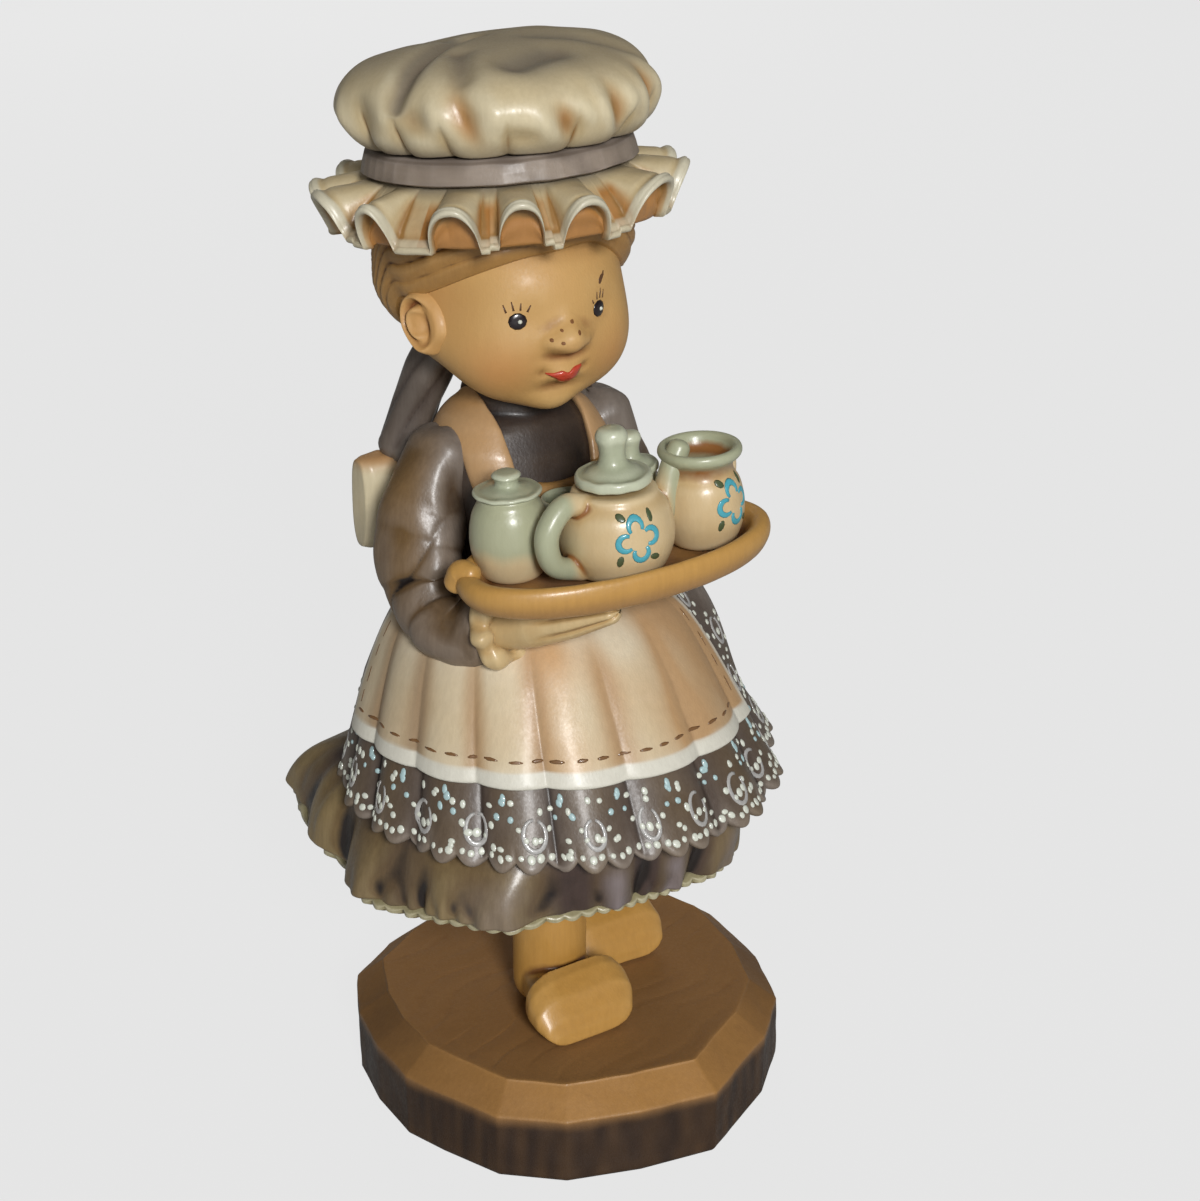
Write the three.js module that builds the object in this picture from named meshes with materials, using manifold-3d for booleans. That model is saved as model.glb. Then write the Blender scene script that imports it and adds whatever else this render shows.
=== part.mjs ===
// A carved and painted wooden figurine: a girl in a mob cap carries a tea tray, on a chip-carved block.
// Millimetres, +Z up. The figure looks along -Y, and its right hand is on the -X side.
// The origin is the centre of the block's underside.
import * as THREE from "three";
import { mergeVertices } from "three/addons/utils/BufferGeometryUtils.js";
import Module from "manifold-3d";

const wasm = await Module();
wasm.setup();

// Glue joints and dowels
const glueGap = 0.3;
const dowelDiameter = 3;
const dowelDepth = 5.5;

// Base block
const baseSideHeight = 9.5;
const chamferHeight = 3.5;
const chamferWidth = 4.2;
const baseCorners = [
  [4, -31.5],
  [18, -24.2],
  [26, -17],
  [30.5, -6],
  [32.5, 8],
  [29.5, 18],
  [20, 26],
  [8, 31],
  [-3, 32.3],
  [-14, 28.5],
  [-22.3, 23.3],
  [-27, 14],
  [-29, 5],
  [-29.5, -4],
  [-27.5, -10.5],
  [-24, -19.5],
  [-17, -26],
  [-7, -29.5],
];

// Clogs and legs
const clogLength = 19.5;
const clogWidth = 16.6;
const toeCapHeight = 8.6;
const rightFoot = { toe: [-5.5, -15.2], heelSwing: 2.2 };
const leftFoot = { toe: [9.6, -1.5], heelSwing: -1.5 };
const ankleSetback = 13.5;
const ankleRadius = 5.3;
const legRadius = 6.1;

// Skirt tiers: heights are measured from the soles, radii from the middle of the block
const waistHeight = 64;
const apronHemHeight = 44;
const laceHemHeight = 33.5;
const dressHemHeight = 25.5;
const waistRadius = 11.8;
const laceHemRadius = 28.4;
const clothThickness = 1.3;
const waistShift = [-1.5, 6];
const apronEdges = [-112, 53];
const trainPush = 1.85;
const leftPuff = 7.3;
const pleatDepth = 1.7;
const pleatRidges = [4, 30, 56, 82, 108, 134, 160, 186, 212, 234, 254, 272, 294, 314, 336];
const scallopCount = 43;
const scallopDepth = 0.9;

// The dress hem swings freely: direction, distance out, and drop below the usual hem
const dressHem = [
  [-180, 34, 2.5],
  [-160, 38, 1],
  [-150, 42, 0],
  [-143, 43.5, 0],
  [-137, 41, 0.5],
  [-130, 38.3, 1.2],
  [-122, 35.2, 2],
  [-114, 32.4, 2.5],
  [-106, 32.3, 2.8],
  [-98, 32.3, 2.6],
  [-90, 31.6, 2.2],
  [-82, 29.8, 2],
  [-74, 29, 1.5],
  [-62, 28.4, 1],
  [-50, 28.8, 0.5],
  [-36, 25.4, 0],
  [-20, 23.6, 0],
  [0, 22.8, 0],
  [14, 23.2, 0],
  [25, 24.8, 0],
  [38, 25, 0],
  [57, 25.2, 0.9],
  [75, 26.5, 1.4],
  [92, 30, 1.5],
  [120, 33, 2.5],
  [150, 34, 2.5],
];
const hemSides = 36;
const trainSwell = 3.4;
const petticoatInset = 1.5;
const petticoatTopInset = 6;
const petticoatDrop = 1.3;
const petticoatThickness = 6;

// Bodice, apron bib, straps and bow
const torsoHeight = 27;
const shoulderHalfWidth = 13;
const neckRadius = 6.4;
const bibHeight = 13;
const bibHalfAngle = 44.5;
const strapWidth = 4.8;
const strapOffset = 9.3;
const trimThickness = 1;
const bowHalfWidth = 17.4;
const bowHeight = 13.5;
const bowDepth = 6;

// Arms: stations down the right arm from the shoulder, and the radius at each
const rightArm = [
  [-12.6, 9.5, 17.5],
  [-16.8, 8.5, 9],
  [-18, 5, -0.3],
  [-17.4, -2, -3.4],
  [-15.6, -7, -1.6],
];
const leftArm = [
  [11, 9.3, 19],
  [13.4, 9, 9.5],
  [14.6, 6, 1.5],
  [13.2, 0, 0],
  [11.4, -4, 2.6],
];
const armRadii = [5.2, 6.1, 6.2, 5.4, 4.2];
const cuffThickness = 2.2;
const cuffRadius = 5.1;
const handRadius = 3.6;
const rightHandLength = 15.5;
const leftHandLength = 9;

// Tray and tea things
const trayCentre = [-1, -14.2];
const trayHalfLength = 22.4;
const trayHalfDepth = 12;
const trayHeight = 6.9;
const trayThickness = 1.8;
const rimHeight = 3;
const trayRoll = 3.4;
const trayTurn = -5;

// Head, hair and cap
const headRadius = 16;
const headHeight = 38.2;
const headSetback = 3.6;
const hairThickness = 1.9;
const faceTurn = -3;
const pigtailRadius = 3.1;
const capHeight = 18.7;
const capTiltBack = 3.4;
const capTiltSide = 2.2;
const bandRadius = 18.1;
const bandHeight = 3;
const crownRadius = 20.9;
const crownHeight = 12.8;
const crownShift = [0.5, -0.35];
const ruffleRadius = 25.1;
const ruffleSwing = 0.4;
const ruffleSwingAt = 146;
const ruffleFolds = 14;
const ruffleFoldsFrom = 120;
const ruffleDrop = 0.8;
const ruffleWave = 2.8;
const ruffleThickness = 1.5;

// Levels that the sizes above give
const footLevel = baseSideHeight + chamferHeight;
const waistLevel = footLevel + waistHeight;
const apronHemLevel = footLevel + apronHemHeight;
const laceHemLevel = footLevel + laceHemHeight;
const dressHemLevel = footLevel + dressHemHeight;
const neckLevel = waistLevel + torsoHeight;
const trayLevel = waistLevel + trayHeight;
const headCentre = [waistShift[0] - 0.5, waistShift[1] + headSetback, waistLevel + headHeight];

const rad = THREE.MathUtils.degToRad;
const toDegrees = THREE.MathUtils.radToDeg;
const mix = THREE.MathUtils.lerp;
const ease = THREE.MathUtils.smoothstep;
const turn = 2 * Math.PI;
const point = (x, y, z) => new THREE.Vector3(x, y, z);

// Painted finishes
function paint(color, roughness = 0.45) {
  return new THREE.MeshStandardMaterial({ color, roughness, metalness: 0 });
}
const blockStain = paint("#7a5230", 0.6);
const honeyStain = paint("#c08a45");
const creamPaint = paint("#dcd0b4");
const plumStain = paint("#5a4338");
const petticoatPaint = paint("#b9b08c");
const skinTone = paint("#d2a066");
const hairStain = paint("#a8783c");
const bandPaint = paint("#8d8480");
const paleGreenGlaze = paint("#aeb79a");
const potCream = paint("#dcc39a");
const dowelWood = paint("#cda873", 0.7);

// Closed skins: a wrong-way skin is turned over so that every face points out
function closedSkin(positions, index) {
  const at = (i) => point(...positions.slice(3 * i, 3 * i + 3));
  let volume = 0;
  for (let i = 0; i < index.length; i += 3) {
    volume += at(index[i]).dot(at(index[i + 1]).cross(at(index[i + 2])));
  }
  const geometry = new THREE.BufferGeometry();
  geometry.setAttribute("position", new THREE.Float32BufferAttribute(positions, 3));
  geometry.setIndex(volume < 0 ? index.toReversed() : index);
  geometry.computeVertexNormals();
  return geometry;
}

// A skin stretched over rings of points, capped at both ends
function loft(rings) {
  const count = rings[0].length;
  const positions = rings.flat().flatMap((p) => p.toArray());
  const index = [];
  const middles = [rings[0], rings.at(-1)].map((ring) => {
    const middle = ring.reduce((sum, p) => sum.add(p), point(0, 0, 0)).divideScalar(count);
    positions.push(...middle.toArray());
    return positions.length / 3 - 1;
  });
  const last = (rings.length - 1) * count;
  for (let j = 0; j < count; j++) {
    const k = (j + 1) % count;
    for (let i = 0; i < rings.length - 1; i++) {
      const a = i * count;
      index.push(a + j, a + k, a + count + k, a + j, a + count + k, a + count + j);
    }
    index.push(middles[0], k, j, middles[1], last + j, last + k);
  }
  return closedSkin(positions, index);
}

// A sheet with thickness: pointAt(u, v, side) gives the outer face for side 0 and the inner for side 1
function sheet(across, down, wraps, pointAt) {
  const columns = wraps ? across : across + 1;
  const positions = [];
  for (const side of [0, 1]) {
    for (let i = 0; i <= down; i++) {
      for (let j = 0; j < columns; j++) {
        positions.push(...pointAt(j / across, i / down, side).toArray());
      }
    }
  }
  const at = (side, i, j) => (side * (down + 1) + i) * columns + (j % columns);
  const index = [];
  const quad = (a, b, c, d) => index.push(a, b, c, a, c, d);
  for (let j = 0; j < across; j++) {
    for (let i = 0; i < down; i++) {
      quad(at(0, i, j), at(0, i + 1, j), at(0, i + 1, j + 1), at(0, i, j + 1));
      quad(at(1, i, j), at(1, i, j + 1), at(1, i + 1, j + 1), at(1, i + 1, j));
    }
    quad(at(0, 0, j), at(0, 0, j + 1), at(1, 0, j + 1), at(1, 0, j));
    quad(at(0, down, j + 1), at(0, down, j), at(1, down, j), at(1, down, j + 1));
  }
  for (let i = 0; i < down && !wraps; i++) {
    quad(at(0, i, 0), at(1, i, 0), at(1, i + 1, 0), at(0, i + 1, 0));
    quad(at(0, i, across), at(0, i + 1, across), at(1, i + 1, across), at(1, i, across));
  }
  return closedSkin(positions, index);
}

// A ball reshaped by pointAt(direction)
function blob(columns, rows, pointAt) {
  const ball = new THREE.SphereGeometry(1, columns, rows).rotateX(Math.PI / 2);
  ball.deleteAttribute("normal");
  ball.deleteAttribute("uv");
  const welded = mergeVertices(ball, 1e-5);
  const positions = [];
  for (let i = 0; i < welded.attributes.position.count; i++) {
    const direction = new THREE.Vector3().fromBufferAttribute(welded.attributes.position, i);
    positions.push(...pointAt(direction.normalize()).toArray());
  }
  return closedSkin(positions, [...welded.index.array]);
}

// A limb: round sections of changing radius along a smooth curve, with rounded ends
function limb(stations, radii, sides, steps, grow = 0) {
  const curve = new THREE.CatmullRomCurve3(stations.map((s) => point(...s)));
  const frames = curve.computeFrenetFrames(steps, false);
  const rings = [];
  for (let i = 0; i <= steps; i++) {
    const t = i / steps;
    const place = t * (radii.length - 1);
    const k = Math.min(Math.floor(place), radii.length - 2);
    const radius = mix(radii[k], radii[k + 1], place - k) + grow;
    const round = Math.sqrt(Math.max(0.2, 1 - Math.abs(2 * t - 1) ** 12));
    const centre = curve.getPointAt(t).addScaledVector(frames.tangents[i], grow * (2 * t - 1));
    rings.push(ringOf(sides, (angle) =>
      centre.clone()
        .addScaledVector(frames.normals[i], radius * round * Math.cos(angle))
        .addScaledVector(frames.binormals[i], radius * round * Math.sin(angle))));
  }
  return loft(rings);
}

function ringOf(sides, pointAt) {
  return Array.from({ length: sides }, (_, j) => pointAt((j / sides) * turn));
}

// A turned solid from [radius, height] pairs that start and end on the axis
function turned(profile, sides) {
  const lathe = new THREE.LatheGeometry(profile.map(([r, z]) => new THREE.Vector2(r, z)), sides);
  lathe.rotateX(Math.PI / 2);
  lathe.deleteAttribute("normal");
  lathe.deleteAttribute("uv");
  const welded = mergeVertices(lathe, 1e-4);
  const keep = [];
  for (let i = 0; i < welded.index.count; i += 3) {
    const [a, b, c] = welded.index.array.slice(i, i + 3);
    if (a !== b && b !== c && c !== a) {
      keep.push(a, b, c);
    }
  }
  return closedSkin([...welded.attributes.position.array], keep);
}

// Cutting and joining
function solidOf(geometry) {
  const bare = geometry.clone();
  bare.deleteAttribute("normal");
  const welded = mergeVertices(bare, 1e-5);
  return new wasm.Manifold(new wasm.Mesh({
    numProp: 3,
    vertProperties: new Float32Array(welded.attributes.position.array),
    triVerts: new Uint32Array(welded.index.array),
  }));
}

function geometryOf(solid) {
  const mesh = solid.getMesh();
  return closedSkin([...mesh.vertProperties], [...mesh.triVerts]);
}

function carve(geometry, ...cutters) {
  const carved = cutters.reduce((solid, cutter) => solid.subtract(solidOf(cutter)), solidOf(geometry));
  return geometryOf(carved);
}

function join(...geometries) {
  return geometryOf(geometries.map(solidOf).reduce((sum, solid) => sum.add(solid)));
}

function signedPower(x, power) {
  return Math.sign(x) * Math.abs(x) ** power;
}

// Smooth value between stations of a closed list, looked up by direction in degrees
function roundTheHem(stations, degrees, column) {
  const at = ((degrees + 180) % 360 + 360) % 360 - 180;
  const after = stations.findIndex((station) => station[0] > at);
  const k = after === -1 ? stations.length : after;
  const pick = (i) => {
    const wrapped = (i + stations.length) % stations.length;
    const laps = Math.floor(i / stations.length);
    return [stations[wrapped][0] + 360 * laps, stations[wrapped][column]];
  };
  const [before, next] = [pick(k - 1), pick(k)];
  const share = (at - before[0]) / (next[0] - before[0]);
  return mix(before[1], next[1], ease(share, 0, 1));
}

// Pleats: 1 on a ridge and 0 in the sharp valley between two ridges
function pleat(degrees) {
  const at = ((degrees - pleatRidges[0]) % 360 + 360) % 360 + pleatRidges[0];
  const after = pleatRidges.findIndex((ridge) => ridge > at);
  const k = after === -1 ? pleatRidges.length : after;
  const next = pleatRidges[k] ?? pleatRidges[0] + 360;
  const share = (at - pleatRidges[k - 1]) / (next - pleatRidges[k - 1]);
  return Math.abs(Math.cos(Math.PI * share)) ** 0.7;
}

// Direction round the figure: 0 is straight ahead, 90 is its left
function outward(degrees) {
  return [Math.sin(rad(degrees)), -Math.cos(rad(degrees))];
}

// Base block
function baseBlock() {
  const outline = (z, inset) => baseCorners.map(([x, y]) => {
    const share = 1 - inset / Math.hypot(x, y);
    return point(x * share, y * share, z);
  });
  const block = loft([outline(0, 0), outline(baseSideHeight, 0), outline(footLevel, chamferWidth)]);
  return carve(block, footDowel(rightFoot, glueGap), footDowel(leftFoot, glueGap));
}

// A place on a foot: along from the toe's tip to the heel, which swings inward, and to the side
function onFoot({ toe, heelSwing }, along, side, z) {
  return point(toe[0] + side + (heelSwing * along) / clogLength, toe[1] + along, z);
}

function footDowel(foot, grow = 0) {
  const length = 2 * (dowelDepth + grow);
  const dowel = new THREE.CylinderGeometry(dowelDiameter / 2 + grow, dowelDiameter / 2 + grow, length, 12);
  dowel.rotateX(Math.PI / 2);
  dowel.translate(...onFoot(foot, ankleSetback, 0, footLevel + glueGap / 2).toArray());
  dowel.deleteAttribute("uv");
  return dowel;
}

// Clogs: share of the length from the toe, share of the width, share of the toe cap's height
const clogStations = [
  [0, 0.86, 0.22],
  [0.03, 0.95, 0.46],
  [0.12, 1, 0.76],
  [0.24, 1, 0.95],
  [0.33, 0.94, 1],
  [0.37, 0.82, 0.86],
  [0.88, 0.5, 0.7],
  [1, 0.34, 0.42],
];

function clog(foot) {
  const rings = clogStations.map(([along, wide, tall]) => ringOf(12, (angle) => {
    const lift = THREE.MathUtils.clamp(0.5 + 0.56 * signedPower(Math.sin(angle), 0.7), 0, 1);
    const side = 0.5 * clogWidth * wide * signedPower(Math.cos(angle), 0.6);
    const level = footLevel + glueGap + toeCapHeight * tall * lift;
    return onFoot(foot, clogLength * along, side, level);
  }));
  return carve(loft(rings), footDowel(foot, glueGap), leg(foot, glueGap));
}

function leg(foot, grow = 0) {
  const bottom = footLevel + dowelDepth + 2 * glueGap;
  const top = dressHemLevel - petticoatDrop + 0.6 * petticoatThickness;
  const rings = [
    [bottom - grow, ankleRadius - 0.2],
    [mix(bottom, top, 0.3), ankleRadius],
    [mix(bottom, top, 0.6), mix(ankleRadius, legRadius, 0.5)],
    [top + grow, legRadius],
  ].map(([z, radius]) => ringOf(12, (angle) => {
    const r = radius + grow;
    return onFoot(foot, ankleSetback + 1.06 * r * Math.sin(angle), r * Math.cos(angle), z);
  }));
  return loft(rings);
}

// Skirt tiers hang from the waist, whose middle is shifted from the block's.
// A share of the way down is 0 at the waist and 1 at the scalloped hem
const apronShare = (waistLevel - apronHemLevel) / (waistLevel - laceHemLevel);
const tierRows = [0, 0.09, 0.3, apronShare, 1];
const tierSides = 2 * scallopCount;

// 1 in the given direction, fading to 0 over the width
function nearDirection(degrees, middle, width) {
  const away = THREE.MathUtils.euclideanModulo(degrees - middle + 180, 360) - 180;
  return Math.exp(-((away / width) ** 2));
}

// Outer radius of the lace tier: a short round hip, then a straight flare.
// The fold is 1 on a pleat's ridge and 0 in a valley
function tierRadius(degrees, share, offset, fold) {
  const hip = 0.36 * (1 - Math.exp(-share / 0.09)) + 0.64 * share;
  const angle = rad(degrees);
  const swing = 0.9 * Math.sin(angle) - Math.cos(2 * angle) + 1.1 * (1 - Math.cos(angle));
  const folds = pleatDepth * (fold - 0.6);
  const flare = mix(waistRadius, laceHemRadius, hip) + (swing + folds) * share;
  const train = trainPush * nearDirection(degrees, -132, 28) * Math.min(1, 2 * share);
  const down = Math.min(share, 1);
  const fullness = Math.max(0.6 * down, Math.sin(Math.PI * down ** 0.6));
  const puff = leftPuff * nearDirection(degrees, 96, 15) * fullness;
  return flare + train + puff + offset;
}

function onTier(degrees, z, offset, fold = pleat(degrees)) {
  const share = Math.max(0, (waistLevel - z) / (waistLevel - laceHemLevel));
  const shift = Math.max(0, 1 - share);
  const [dx, dy] = outward(degrees);
  const r = tierRadius(degrees, share, offset, fold);
  return point(waistShift[0] * shift + r * dx, waistShift[1] * shift + r * dy, z);
}

function tierLevel(share) {
  return mix(waistLevel, laceHemLevel, share);
}

function laceOverskirt() {
  return sheet(tierSides, tierRows.length - 1, true, (u, v, side) => {
    const row = Math.round(v * (tierRows.length - 1));
    const notch = Math.round(tierSides * u) % 2;
    const z = tierLevel(tierRows[row]) + (v === 1 ? scallopDepth * notch : 0) - (v === 0 ? glueGap : 0);
    return onTier(360 * u, z, -side * clothThickness);
  });
}

// The apron lies on the lace tier and shares its columns, from one side edge to the other
function apronSkirt() {
  const rows = tierRows.slice(0, -1);
  const columns = apronEdges.map((degrees) => Math.round((degrees / 360) * tierSides));
  const across = columns[1] - columns[0];
  return sheet(across, rows.length - 1, false, (u, v, side) => {
    const degrees = (360 / tierSides) * (columns[0] + Math.round(u * across));
    const z = tierLevel(rows[Math.round(v * (rows.length - 1))]) + (v === 0 ? 1.2 : 0);
    return onTier(degrees, z, glueGap + (1 - side) * clothThickness);
  });
}

// The whole skirt as a plain solid, to fit arms and bow round it
function skirtEnvelope(grow) {
  const offset = glueGap + clothThickness + grow;
  const levels = [waistLevel + 1.2 + grow, ...tierRows.slice(1, -1).map(tierLevel)];
  return loft(levels.map((z) => ringOf(hemSides, (angle) => onTier(toDegrees(angle), z, offset, 1))));
}

// The dress is the body of the skirt: it fills the tiers above and flares to its own hem
function dressHemPoint(degrees, inset, drop) {
  const [dx, dy] = outward(degrees);
  const r = roundTheHem(dressHem, degrees, 1) - inset;
  return point(r * dx, r * dy, dressHemLevel - roundTheHem(dressHem, degrees, 2) - drop);
}

function hemRing(inset, drop) {
  return ringOf(hemSides, (angle) => dressHemPoint(toDegrees(angle), inset, drop));
}

// A recess under the hem takes the petticoat
function dressSkirt() {
  const inside = -(clothThickness + glueGap);
  const upper = tierRows.map((share) => ringOf(hemSides, (angle) =>
    onTier(toDegrees(angle), tierLevel(share), inside, 0)));
  const lower = [0.35, 0.7].map((share) => ringOf(hemSides, (angle) => {
    const degrees = toDegrees(angle);
    const straight = onTier(degrees, laceHemLevel, inside, 0).lerp(dressHemPoint(degrees, 0, 0), share);
    const swell = trainSwell * nearDirection(degrees, -145, 22) * Math.sin(Math.PI * share ** 0.75);
    const [dx, dy] = outward(degrees);
    return straight.add(point(swell * dx, swell * dy, 0));
  }));
  const recess = petticoatThickness + glueGap - petticoatDrop;
  return loft([
    ...upper,
    ...lower,
    hemRing(0, 0),
    hemRing(petticoatInset - glueGap, 0),
    hemRing(petticoatTopInset - glueGap, -recess),
  ]);
}

// The petticoat plugs the dress from below, and its edge shows under the hem
function petticoat() {
  const top = petticoatDrop - petticoatThickness;
  return loft([
    hemRing(petticoatInset, petticoatDrop),
    hemRing(petticoatInset, 0),
    hemRing(petticoatTopInset, top),
  ]);
}

// Bodice: height share, half-width, half-depth, and how far the section leans back
const bodiceStations = [
  [0, 11.4, 9.4, 0],
  [0.25, 12, 9.8, 1],
  [0.48, shoulderHalfWidth, 9.6, 2],
  [0.66, shoulderHalfWidth, 8.8, 2.7],
  [0.78, 10.6, 7.8, 3.1],
  [0.86, 7.6, 6.9, 3.4],
  [0.93, neckRadius, 6.2, 3.7],
  [1, neckRadius - 0.4, 5.9, 3.9],
];

function bodiceSection(z) {
  const share = (z - waistLevel) / (neckLevel - waistLevel);
  const after = bodiceStations.findIndex((station) => station[0] >= share);
  const k = Math.max(1, after === -1 ? bodiceStations.length - 1 : after);
  const [low, high] = [bodiceStations[k - 1], bodiceStations[k]];
  const between = THREE.MathUtils.clamp((share - low[0]) / (high[0] - low[0]), 0, 1);
  return [1, 2, 3].map((column) => mix(low[column], high[column], between));
}

function bodice(grow = 0) {
  const rings = bodiceStations.map(([share]) => {
    const z = mix(waistLevel, neckLevel, share);
    const [halfWidth, halfDepth, lean] = bodiceSection(z);
    const level = share === 0 ? z + glueGap - grow : z + grow * share;
    return ringOf(24, (angle) => point(
      waistShift[0] - 0.5 * share + (halfWidth + grow) * Math.cos(angle),
      waistShift[1] + lean + (halfDepth + grow) * Math.sin(angle),
      level,
    ));
  });
  return loft(rings);
}

// How far a ray from inside the bodice runs before it comes out
function bodiceDepth(origin, direction) {
  const inside = (distance) => {
    const p = origin.clone().addScaledVector(direction, distance);
    const share = (p.z - waistLevel) / (neckLevel - waistLevel);
    const [halfWidth, halfDepth, lean] = bodiceSection(p.z);
    const x = (p.x - waistShift[0] + 0.5 * share) / halfWidth;
    const y = (p.y - waistShift[1] - lean) / halfDepth;
    return share < 1 && x * x + y * y < 1;
  };
  let [near, far] = [0, 40];
  for (let i = 0; i < 30; i++) {
    const middle = (near + far) / 2;
    [near, far] = inside(middle) ? [middle, far] : [near, middle];
  }
  return near;
}

function apronBib() {
  const bottom = waistLevel + 1.5;
  return sheet(8, 4, false, (u, v, side) => {
    const z = mix(bottom + bibHeight, bottom, v);
    const origin = point(waistShift[0], waistShift[1] + 2, z);
    const [dx, dy] = outward(mix(-bibHalfAngle, bibHalfAngle, u));
    const direction = point(dx, dy, 0);
    const offset = glueGap + (1 - side) * trimThickness;
    return origin.addScaledVector(direction, bodiceDepth(origin, direction) + offset);
  });
}

// A strap runs from the bib over the shoulder to the bow, and draws in at both ends
function strapBand(hand, width, outer, inner) {
  const level = waistLevel + bibHeight - 1.5;
  return sheet(2, 10, false, (u, v, side) => {
    const angle = rad(mix(-12, 196, v));
    const drawIn = mix(0.82, 1, Math.sin(Math.PI * v));
    const x = waistShift[0] + hand * strapOffset * drawIn + (u - 0.5) * width;
    const origin = point(x, waistShift[1] + 2.6, level);
    const direction = point(0, -Math.cos(angle), Math.sin(angle));
    return origin.addScaledVector(direction, bodiceDepth(origin, direction) + (side ? inner : outer));
  });
}

function strap(hand) {
  const band = strapBand(hand, strapWidth, glueGap + trimThickness, -0.4);
  return carve(band, bodice(glueGap), bibKeepOut(), skull(glueGap).applyMatrix4(headGroup.matrix));
}

function strapRoom(hand) {
  return strapBand(hand, strapWidth + 3 * glueGap, 2 * glueGap + trimThickness, -1.5);
}

function bibKeepOut() {
  const top = waistLevel + 1.5 + bibHeight + glueGap;
  const block = new THREE.BoxGeometry(60, 30, 30).translate(waistShift[0], waistShift[1] - 15, top - 15);
  block.deleteAttribute("uv");
  return block;
}

// The apron's bow lies against the back of the waist
function bowCentre() {
  return [waistShift[0] - 0.5, waistShift[1] + 14.6, waistLevel + 8.2];
}

function bowLoop(hand) {
  const [cx, cy, cz] = bowCentre();
  const stations = [
    [0.12, 0.34, 0.6],
    [0.3, 0.62, 0.86],
    [0.55, 0.9, 1],
    [0.8, 1, 1],
    [0.94, 0.97, 0.9],
    [1, 0.92, 0.62],
  ];
  const rings = stations.map(([out, tall, deep]) => ringOf(12, (angle) => point(
    cx + hand * bowHalfWidth * out,
    cy + 1.5 * out + 0.5 * bowDepth * deep * signedPower(Math.cos(angle), 0.6),
    cz - 0.4 * out + 0.5 * bowHeight * tall * signedPower(Math.sin(angle), 0.6),
  )));
  return carve(loft(rings), bodice(glueGap), strapRoom(hand), skirtEnvelope(glueGap));
}

function bowKnot() {
  const [cx, cy, cz] = bowCentre();
  const half = 0.12 * bowHalfWidth - glueGap;
  const knot = blob(10, 8, (d) => point(
    cx + half * signedPower(d.x, 0.6),
    cy + 0.55 * bowDepth * d.y,
    cz + 0.27 * bowHeight * d.z,
  ));
  return carve(knot, bodice(glueGap));
}

function bowTail(hand) {
  const [, , cz] = bowCentre();
  const top = cz - 0.27 * bowHeight - 2 * glueGap;
  return sheet(3, 6, false, (u, v, side) => {
    const z = mix(top, apronHemLevel + 5, v);
    const spread = hand * mix(7, 15, v) + (u - 0.5) * mix(10, 13, v);
    const lift = (1 - side) * trimThickness;
    const onSkirt = onTier(180 - spread, Math.min(z, waistLevel), glueGap + lift);
    const [, halfDepth, lean] = bodiceSection(Math.max(z, waistLevel));
    const onBody = waistShift[1] + lean + halfDepth + glueGap + lift;
    return point(onSkirt.x, Math.max(onSkirt.y, z > waistLevel ? onBody : 0), z);
  });
}

// Arms
function armOf(hand) {
  return (hand < 0 ? rightArm : leftArm).map(([x, y, z]) => [x, y, waistLevel + z]);
}

function sleeve(hand, grow = 0) {
  return limb(armOf(hand), armRadii, 9, 8, grow);
}

function sleevePiece(hand) {
  const rooms = [bodice(glueGap), skirtEnvelope(glueGap), strapRoom(hand), pastTheWrist(hand, 0)];
  return carve(sleeve(hand), ...rooms);
}

// The wrist: where the sleeve ends, and the way the forearm points there
function wristFrame(hand) {
  const stations = armOf(hand).map((s) => point(...s));
  const end = stations.at(-1);
  const along = end.clone().sub(stations.at(-2)).normalize();
  return [end, along];
}

function atWrist(geometry, hand, distance) {
  const [end, along] = wristFrame(hand);
  geometry.applyQuaternion(new THREE.Quaternion().setFromUnitVectors(point(0, 0, 1), along));
  return geometry.translate(...end.addScaledVector(along, distance).toArray());
}

// Blocks that end the sleeve at the wrist and start the hand past the cuff
function pastTheWrist(hand, distance) {
  const block = new THREE.BoxGeometry(30, 30, 30);
  block.deleteAttribute("uv");
  return atWrist(block, hand, 15 + distance);
}

function beforeTheHand(hand) {
  return pastTheWrist(hand, cuffThickness + 2 * glueGap - 30);
}

// A frilled cuff of eight waves
function cuff(hand) {
  const frill = loft([0, 0.45, 1].map((share) => ringOf(24, (angle) => {
    const r = cuffRadius * (0.84 + 0.24 * Math.sin(Math.PI * share)) + 0.45 * share * Math.cos(8 * angle);
    return point(r * Math.cos(angle), r * Math.sin(angle), glueGap + share * cuffThickness);
  })));
  return carve(atWrist(frill, hand, 0), skirtEnvelope(glueGap), trayBody(glueGap));
}

// A mitten-like carved hand, palm up under the tray
function handPiece(hand) {
  const [end, along] = wristFrame(hand);
  const wrist = end.clone().addScaledVector(along, cuffThickness + 2 * glueGap - 0.5);
  const reach = (hand < 0 ? point(0.5, -0.8, 0.3) : point(-0.75, -0.6, 0.2)).normalize();
  const length = hand < 0 ? rightHandLength : leftHandLength;
  const stations = [0, 0.3, 0.65, 1].map((share) =>
    wrist.clone().addScaledVector(along, 1.2 * Math.min(1, 3 * share))
      .addScaledVector(reach, length * share).toArray());
  const radii = [0.95, 1, 0.84, 0.5].map((share) => share * handRadius);
  const palm = limb(stations, radii, 8, 5);
  return carve(palm, beforeTheHand(hand), trayBody(glueGap), skirtEnvelope(glueGap));
}

function thumb(hand) {
  const place = trayPlace(hand * (trayHalfLength - 1.2), 3.4 + 0.8 * hand, rimHeight - 0.2);
  const [cx, cy, cz] = place.toArray();
  const lump = blob(8, 6, (d) => point(cx + 2 * d.x, cy + 3.1 * d.y, cz + 2.6 * d.z));
  return carve(lump, trayBody(glueGap));
}

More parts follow.
